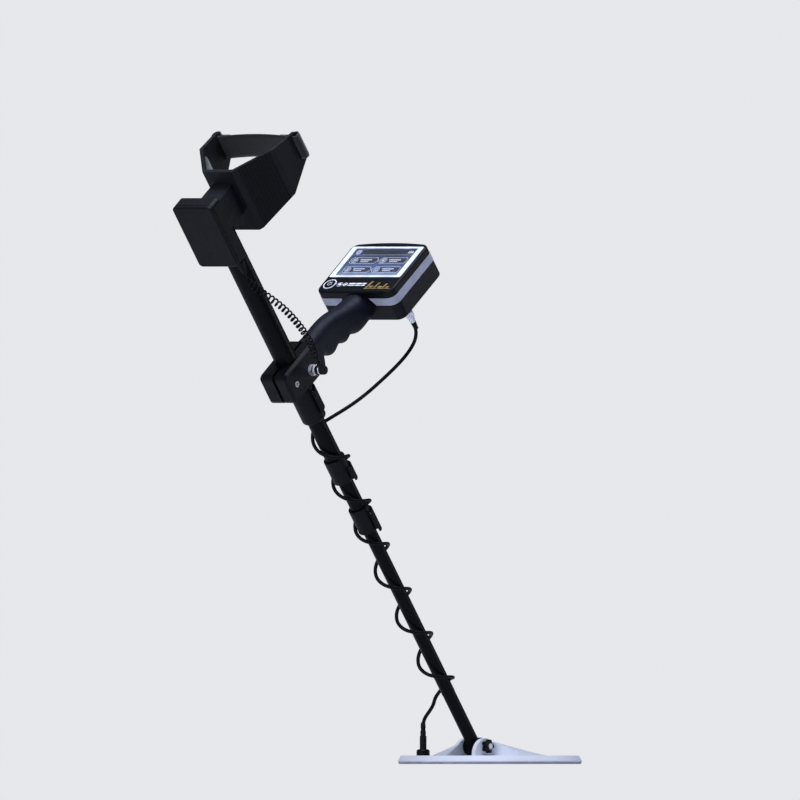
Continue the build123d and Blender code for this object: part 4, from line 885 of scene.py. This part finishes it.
# ---------------------------------------------------------------- screen graphics and marks
class Drawing:
    """Flat graphics on a plane across the stem, as thin solids. Points are (right, fore) in millimetres."""

    def __init__(self, name, low, high, material, slot, body="root"):
        self.name, self.low, self.high = name, low, high
        self.material, self.slot, self.body = material, slot, body
        self.points = []
        self.faces = []

    def _strip(self, outer, inner, closed):
        """A band between two lines of equal count."""
        start = len(self.points)
        count = len(outer)
        for up in (self.low, self.high):
            for right, fore in list(outer) + list(inner):
                self.points.append(at_stem(fore, right, up))
        for index in range(count if closed else count - 1):
            following = (index + 1) % count
            o1, o2 = start + index, start + following
            i1, i2 = o1 + count, o2 + count
            top = 2 * count
            self.faces.append((o1 + top, o2 + top, i2 + top, i1 + top))
            self.faces.append((o1, i1, i2, o2))
            self.faces.append((o1, o2, o2 + top, o1 + top))
            self.faces.append((i1, i1 + top, i2 + top, i2))
        if not closed:
            for index in (0, count - 1):
                o, i, top = start + index, start + count + index, 2 * count
                self.faces.append((o, o + top, i + top, i))

    def polygon(self, outline):
        start = len(self.points)
        count = len(outline)
        for up in (self.low, self.high):
            for right, fore in outline:
                self.points.append(at_stem(fore, right, up))
        self.faces.append(tuple(range(start + count, start + 2 * count)))
        self.faces.append(tuple(reversed(range(start, start + count))))
        for index in range(count):
            a, b = start + index, start + (index + 1) % count
            self.faces.append((a, b, b + count, a + count))

    def arc(self, centre, radius, width, start=0.0, end=360.0):
        closed = end - start >= 360
        steps = max(12, int((end - start) / 8))
        stops = range(steps if closed else steps + 1)
        turns = [math.radians(start + (end - start) * k / steps) for k in stops]
        outer = [(centre[0] + radius * math.cos(t), centre[1] + radius * math.sin(t)) for t in turns]
        reach = radius - width
        inner = [(centre[0] + reach * math.cos(t), centre[1] + reach * math.sin(t)) for t in turns]
        self._strip(outer, inner, closed)

    def disc(self, centre, radius, steps=36):
        turns = [2 * math.pi * k / steps for k in range(steps)]
        self.polygon([(centre[0] + radius * math.cos(t), centre[1] + radius * math.sin(t)) for t in turns])

    def outline(self, shape, width):
        """A line drawn inside a closed convex shape."""
        inner = []
        count = len(shape)
        for index, (x, y) in enumerate(shape):
            (ax, ay), (bx, by) = shape[index - 1], shape[(index + 1) % count]
            before = Vector((x - ax, y - ay)).normalized()
            after = Vector((bx - x, by - y)).normalized()
            turn = before.x * after.y - before.y * after.x
            cosine = before.dot(after)
            reach = width / max(0.3, 1 + cosine)
            normal = Vector((-before.y - after.y, before.x + after.x))
            inner.append((x + normal.x * reach, y + normal.y * reach))
        self._strip(shape, inner, True)

    def bar(self, right, fore, length, height, slant=0.0):
        """A bar from its lower left corner, slanted to the right by that much over its height."""
        end, top, lean = right + length, fore + height, slant
        self.polygon([(right, fore), (end, fore), (end + lean, top), (right + lean, top)])

    def build(self):
        piece = make_piece(self.name, self.points, self.faces, self.material, smooth=False)
        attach(piece, self.body)
        return piece


PANEL_TOP = CONSOLE_FACE - 1.6
fills = Drawing("screen_fills", PANEL_TOP + 0.01, PANEL_TOP + 0.03, LIT_DARK, "display")
slates = Drawing("screen_slates", PANEL_TOP + 0.04, PANEL_TOP + 0.06, LIT_MID, "display")
lines = Drawing("screen_lines", PANEL_TOP + 0.07, PANEL_TOP + 0.10, LIT_WHITE, "display")
lilac = Drawing("screen_lilac_disc", PANEL_TOP + 0.04, PANEL_TOP + 0.06, LIT_LILAC, "display")


def key_shape(left, low, right, high, round_left, corner=3.2, point=4.0):
    """A screen key, drawn anticlockwise: rounded at its outer end, pointed at its inner end."""
    if not round_left:
        return [(-x, y) for x, y in reversed(key_shape(-right, low, -left, high, True, corner, point))]
    turns = [math.pi / 2 * (1 - step / 4) for step in range(5)]
    lower = [(left + corner * (1 - math.sin(t)), low + corner * (1 - math.cos(t))) for t in turns]
    upper = [(x, low + high - y) for x, y in reversed(lower)]
    return [*lower, (right - point, low), (right, (low + high) / 2), (right - point, high), *upper]


for low, high in ((234.5, 247.5), (214.5, 227.5)):
    for left, right, round_left in ((-49.0, -0.4, True), (0.4, 49.0, False)):
        shape = key_shape(left, low, right, high, round_left)
        fills.polygon(shape)
        lines.outline(shape, 0.75)
        icon = left + 7.5 if round_left else left + 8.5
        middle = (low + high) / 2
        slates.disc((icon, middle), 5.0)
        lines.arc((icon, middle), 5.2, 0.6)
        lines.bar(icon + 9.0, middle + 0.5, 20.0, 2.0)
        lines.bar(icon + 11.0, middle - 3.0, 14.0, 1.5)
lines.bar(-43.6, 238.0, 1.2, 6.0)
lines.bar(-41.4, 239.4, 1.2, 4.4)
lines.bar(-39.2, 240.4, 1.2, 2.6)
lines.arc((8.9, 241.0), 3.0, 0.9, 30, 330)
lines.disc((8.9, 241.0), 0.9)
for index in range(3):
    lines.bar(-44.0, 218.3 + index * 2.2, 5.4, 0.9)
lines.outline([(6.4, 218.6), (11.4, 218.6), (11.4, 223.4), (6.4, 223.4)], 0.8)
lilac.disc((-46.0, 259.5), 5.2)
lines.arc((-46.0, 259.5), 3.2, 0.7)
lines.outline([(40.5, 257.0), (49.0, 257.0), (49.0, 262.0), (40.5, 262.0)], 0.8)
for index in range(3):
    lines.bar(41.8 + index * 2.2, 258.2, 1.6, 2.6)
lines.bar(49.0, 258.6, 1.0, 1.8)
lines.bar(-53.0, 253.4, 106.0, 0.35)
for drawing in (fills, slates, lines, lilac):
    drawing.build()

marks = Drawing("console_marks_white", CONSOLE_FACE - 0.05, CONSOLE_FACE + 0.08, GLOWING_WHITE_INK, "bezel")
marks.arc((-23.5, BUTTON_N), 3.6, 1.1)
marks.disc((-23.5, BUTTON_N), 1.3)
for index, (start, length) in enumerate(((-18.0, 11.5), (-5.0, 9.0), (5.4, 6.6))):
    marks.bar(start, BUTTON_N + 0.6, length, 2.6, 0.9)
    marks.bar(start - 0.6, BUTTON_N - 2.9, length, 2.0, 0.7)
marks.arc((-33.0, BUTTON_N), 4.4, 0.5)
gold = Drawing("console_marks_gold", CONSOLE_FACE - 0.05, CONSOLE_FACE + 0.1, GOLD_INK, "bezel")
GOLD_BARS = (
    (15.0, 3.4, 14.0),
    (21.0, 5.6, 4.6),
    (29.4, 3.0, 11.4),
    (36.4, 6.6, 3.6),
    (44.4, 2.8, 9.4),
    (50.0, 5.2, 3.2),
)
for start, length, height in GOLD_BARS:
    gold.bar(start, BUTTON_N - 7.2, length, height, 0.3 * height)
gold.bar(14.0, BUTTON_N - 9.6, 46.0, 1.2, 0.3)
symbol = Drawing("power_symbol", 651.35, 651.5, GLOWING_WHITE_INK, "ring_white", "power_button")
symbol.arc((POWER_RIGHT, BUTTON_N), 3.6, 0.7, 120, 420)
symbol.bar(POWER_RIGHT - 0.35, BUTTON_N + 0.4, 0.7, 4.0)
for drawing in (marks, gold, symbol):
    drawing.build()

# ---------------------------------------------------------------- light, floor and camera
VIEW = Vector((math.sin(math.radians(51)), math.cos(math.radians(51)), 0))  # the way the camera looks
CAMERA_RIGHT = Vector((VIEW.y, -VIEW.x, 0))
TARGET = Vector((-0.077, 0.095, 0.495))
FRAME_WIDTH = 1.088
BACKDROP = (0.795, 0.805, 0.835)

world = bpy.data.worlds.new("studio")
world.use_nodes = True
bpy.context.scene.world = world
tree = world.node_tree
back = tree.nodes["Background"]
back.inputs["Color"].default_value = (*BACKDROP, 1)
seen = tree.nodes.new("ShaderNodeLightPath")
level = tree.nodes.new("ShaderNodeMapRange")
level.inputs["To Min"].default_value = 0.12
level.inputs["To Max"].default_value = 1.0
tree.links.new(seen.outputs["Is Camera Ray"], level.inputs["Value"])
tree.links.new(level.outputs["Result"], back.inputs["Strength"])


def softbox(name, place, aim, width, height, power, colour=(1, 1, 1)):
    light = bpy.data.lights.new(name, "AREA")
    light.shape = "RECTANGLE"
    light.size, light.size_y = width, height
    light.energy = power
    light.color = colour
    lamp = bpy.data.objects.new(name, light)
    lamp.location = place
    lamp.rotation_euler = (Vector(aim) - Vector(place)).to_track_quat("-Z", "Y").to_euler()
    bpy.context.scene.collection.objects.link(lamp)
    return lamp


CENTRE = Vector((-0.25, 0.0, 0.45))
COOL = (0.86, 0.90, 1.0)
softbox("light_top", CENTRE + Vector((0.1, 0, 1.6)) - VIEW * 0.3, CENTRE, 1.6, 1.2, 38, (0.74, 0.82, 1.0))
front_place = CENTRE - VIEW * 2.2 - CAMERA_RIGHT * 1.6 + Vector((0, 0, 0.9))
softbox("light_front", front_place, CENTRE, 1.6, 1.6, 42, COOL)
rim_place = CENTRE + CAMERA_RIGHT * 1.7 + VIEW * 0.55 + Vector((0, 0, 0.2))
softbox("light_rim", rim_place, CENTRE, 0.18, 2.0, 5, COOL)

FLOOR_HALF = 6.0
floor_corners = ((-1, -1), (1, -1), (1, 1), (-1, 1))
floor_points = [(FLOOR_HALF * x, FLOOR_HALF * y, 0) for x, y in floor_corners]
floor_mesh = bpy.data.meshes.new("floor")
floor_mesh.from_pydata([Vector(p) - Vector((0, 0, 0.0006)) for p in floor_points], [], [(0, 1, 2, 3)])
floor_finish = Finish("floor_pale", Roughness=0.9)
mottle = floor_finish.noise(300, 2)
floor_finish.wire("Base Color", floor_finish.between(mottle, (0.80, 0.81, 0.84), (0.82, 0.83, 0.86)))
floor_mesh.materials.append(floor_finish.material)
floor = bpy.data.objects.new("floor", floor_mesh)
bpy.context.scene.collection.objects.link(floor)

camera_data = bpy.data.cameras.new("camera")
camera_data.type = "ORTHO"
camera_data.ortho_scale = FRAME_WIDTH
camera = bpy.data.objects.new("camera", camera_data)
camera.location = TARGET - VIEW * 3.0
camera.rotation_euler = VIEW.to_track_quat("-Z", "Y").to_euler()
bpy.context.scene.collection.objects.link(camera)
bpy.context.scene.camera = camera
bpy.context.scene.view_settings.view_transform = "Standard"
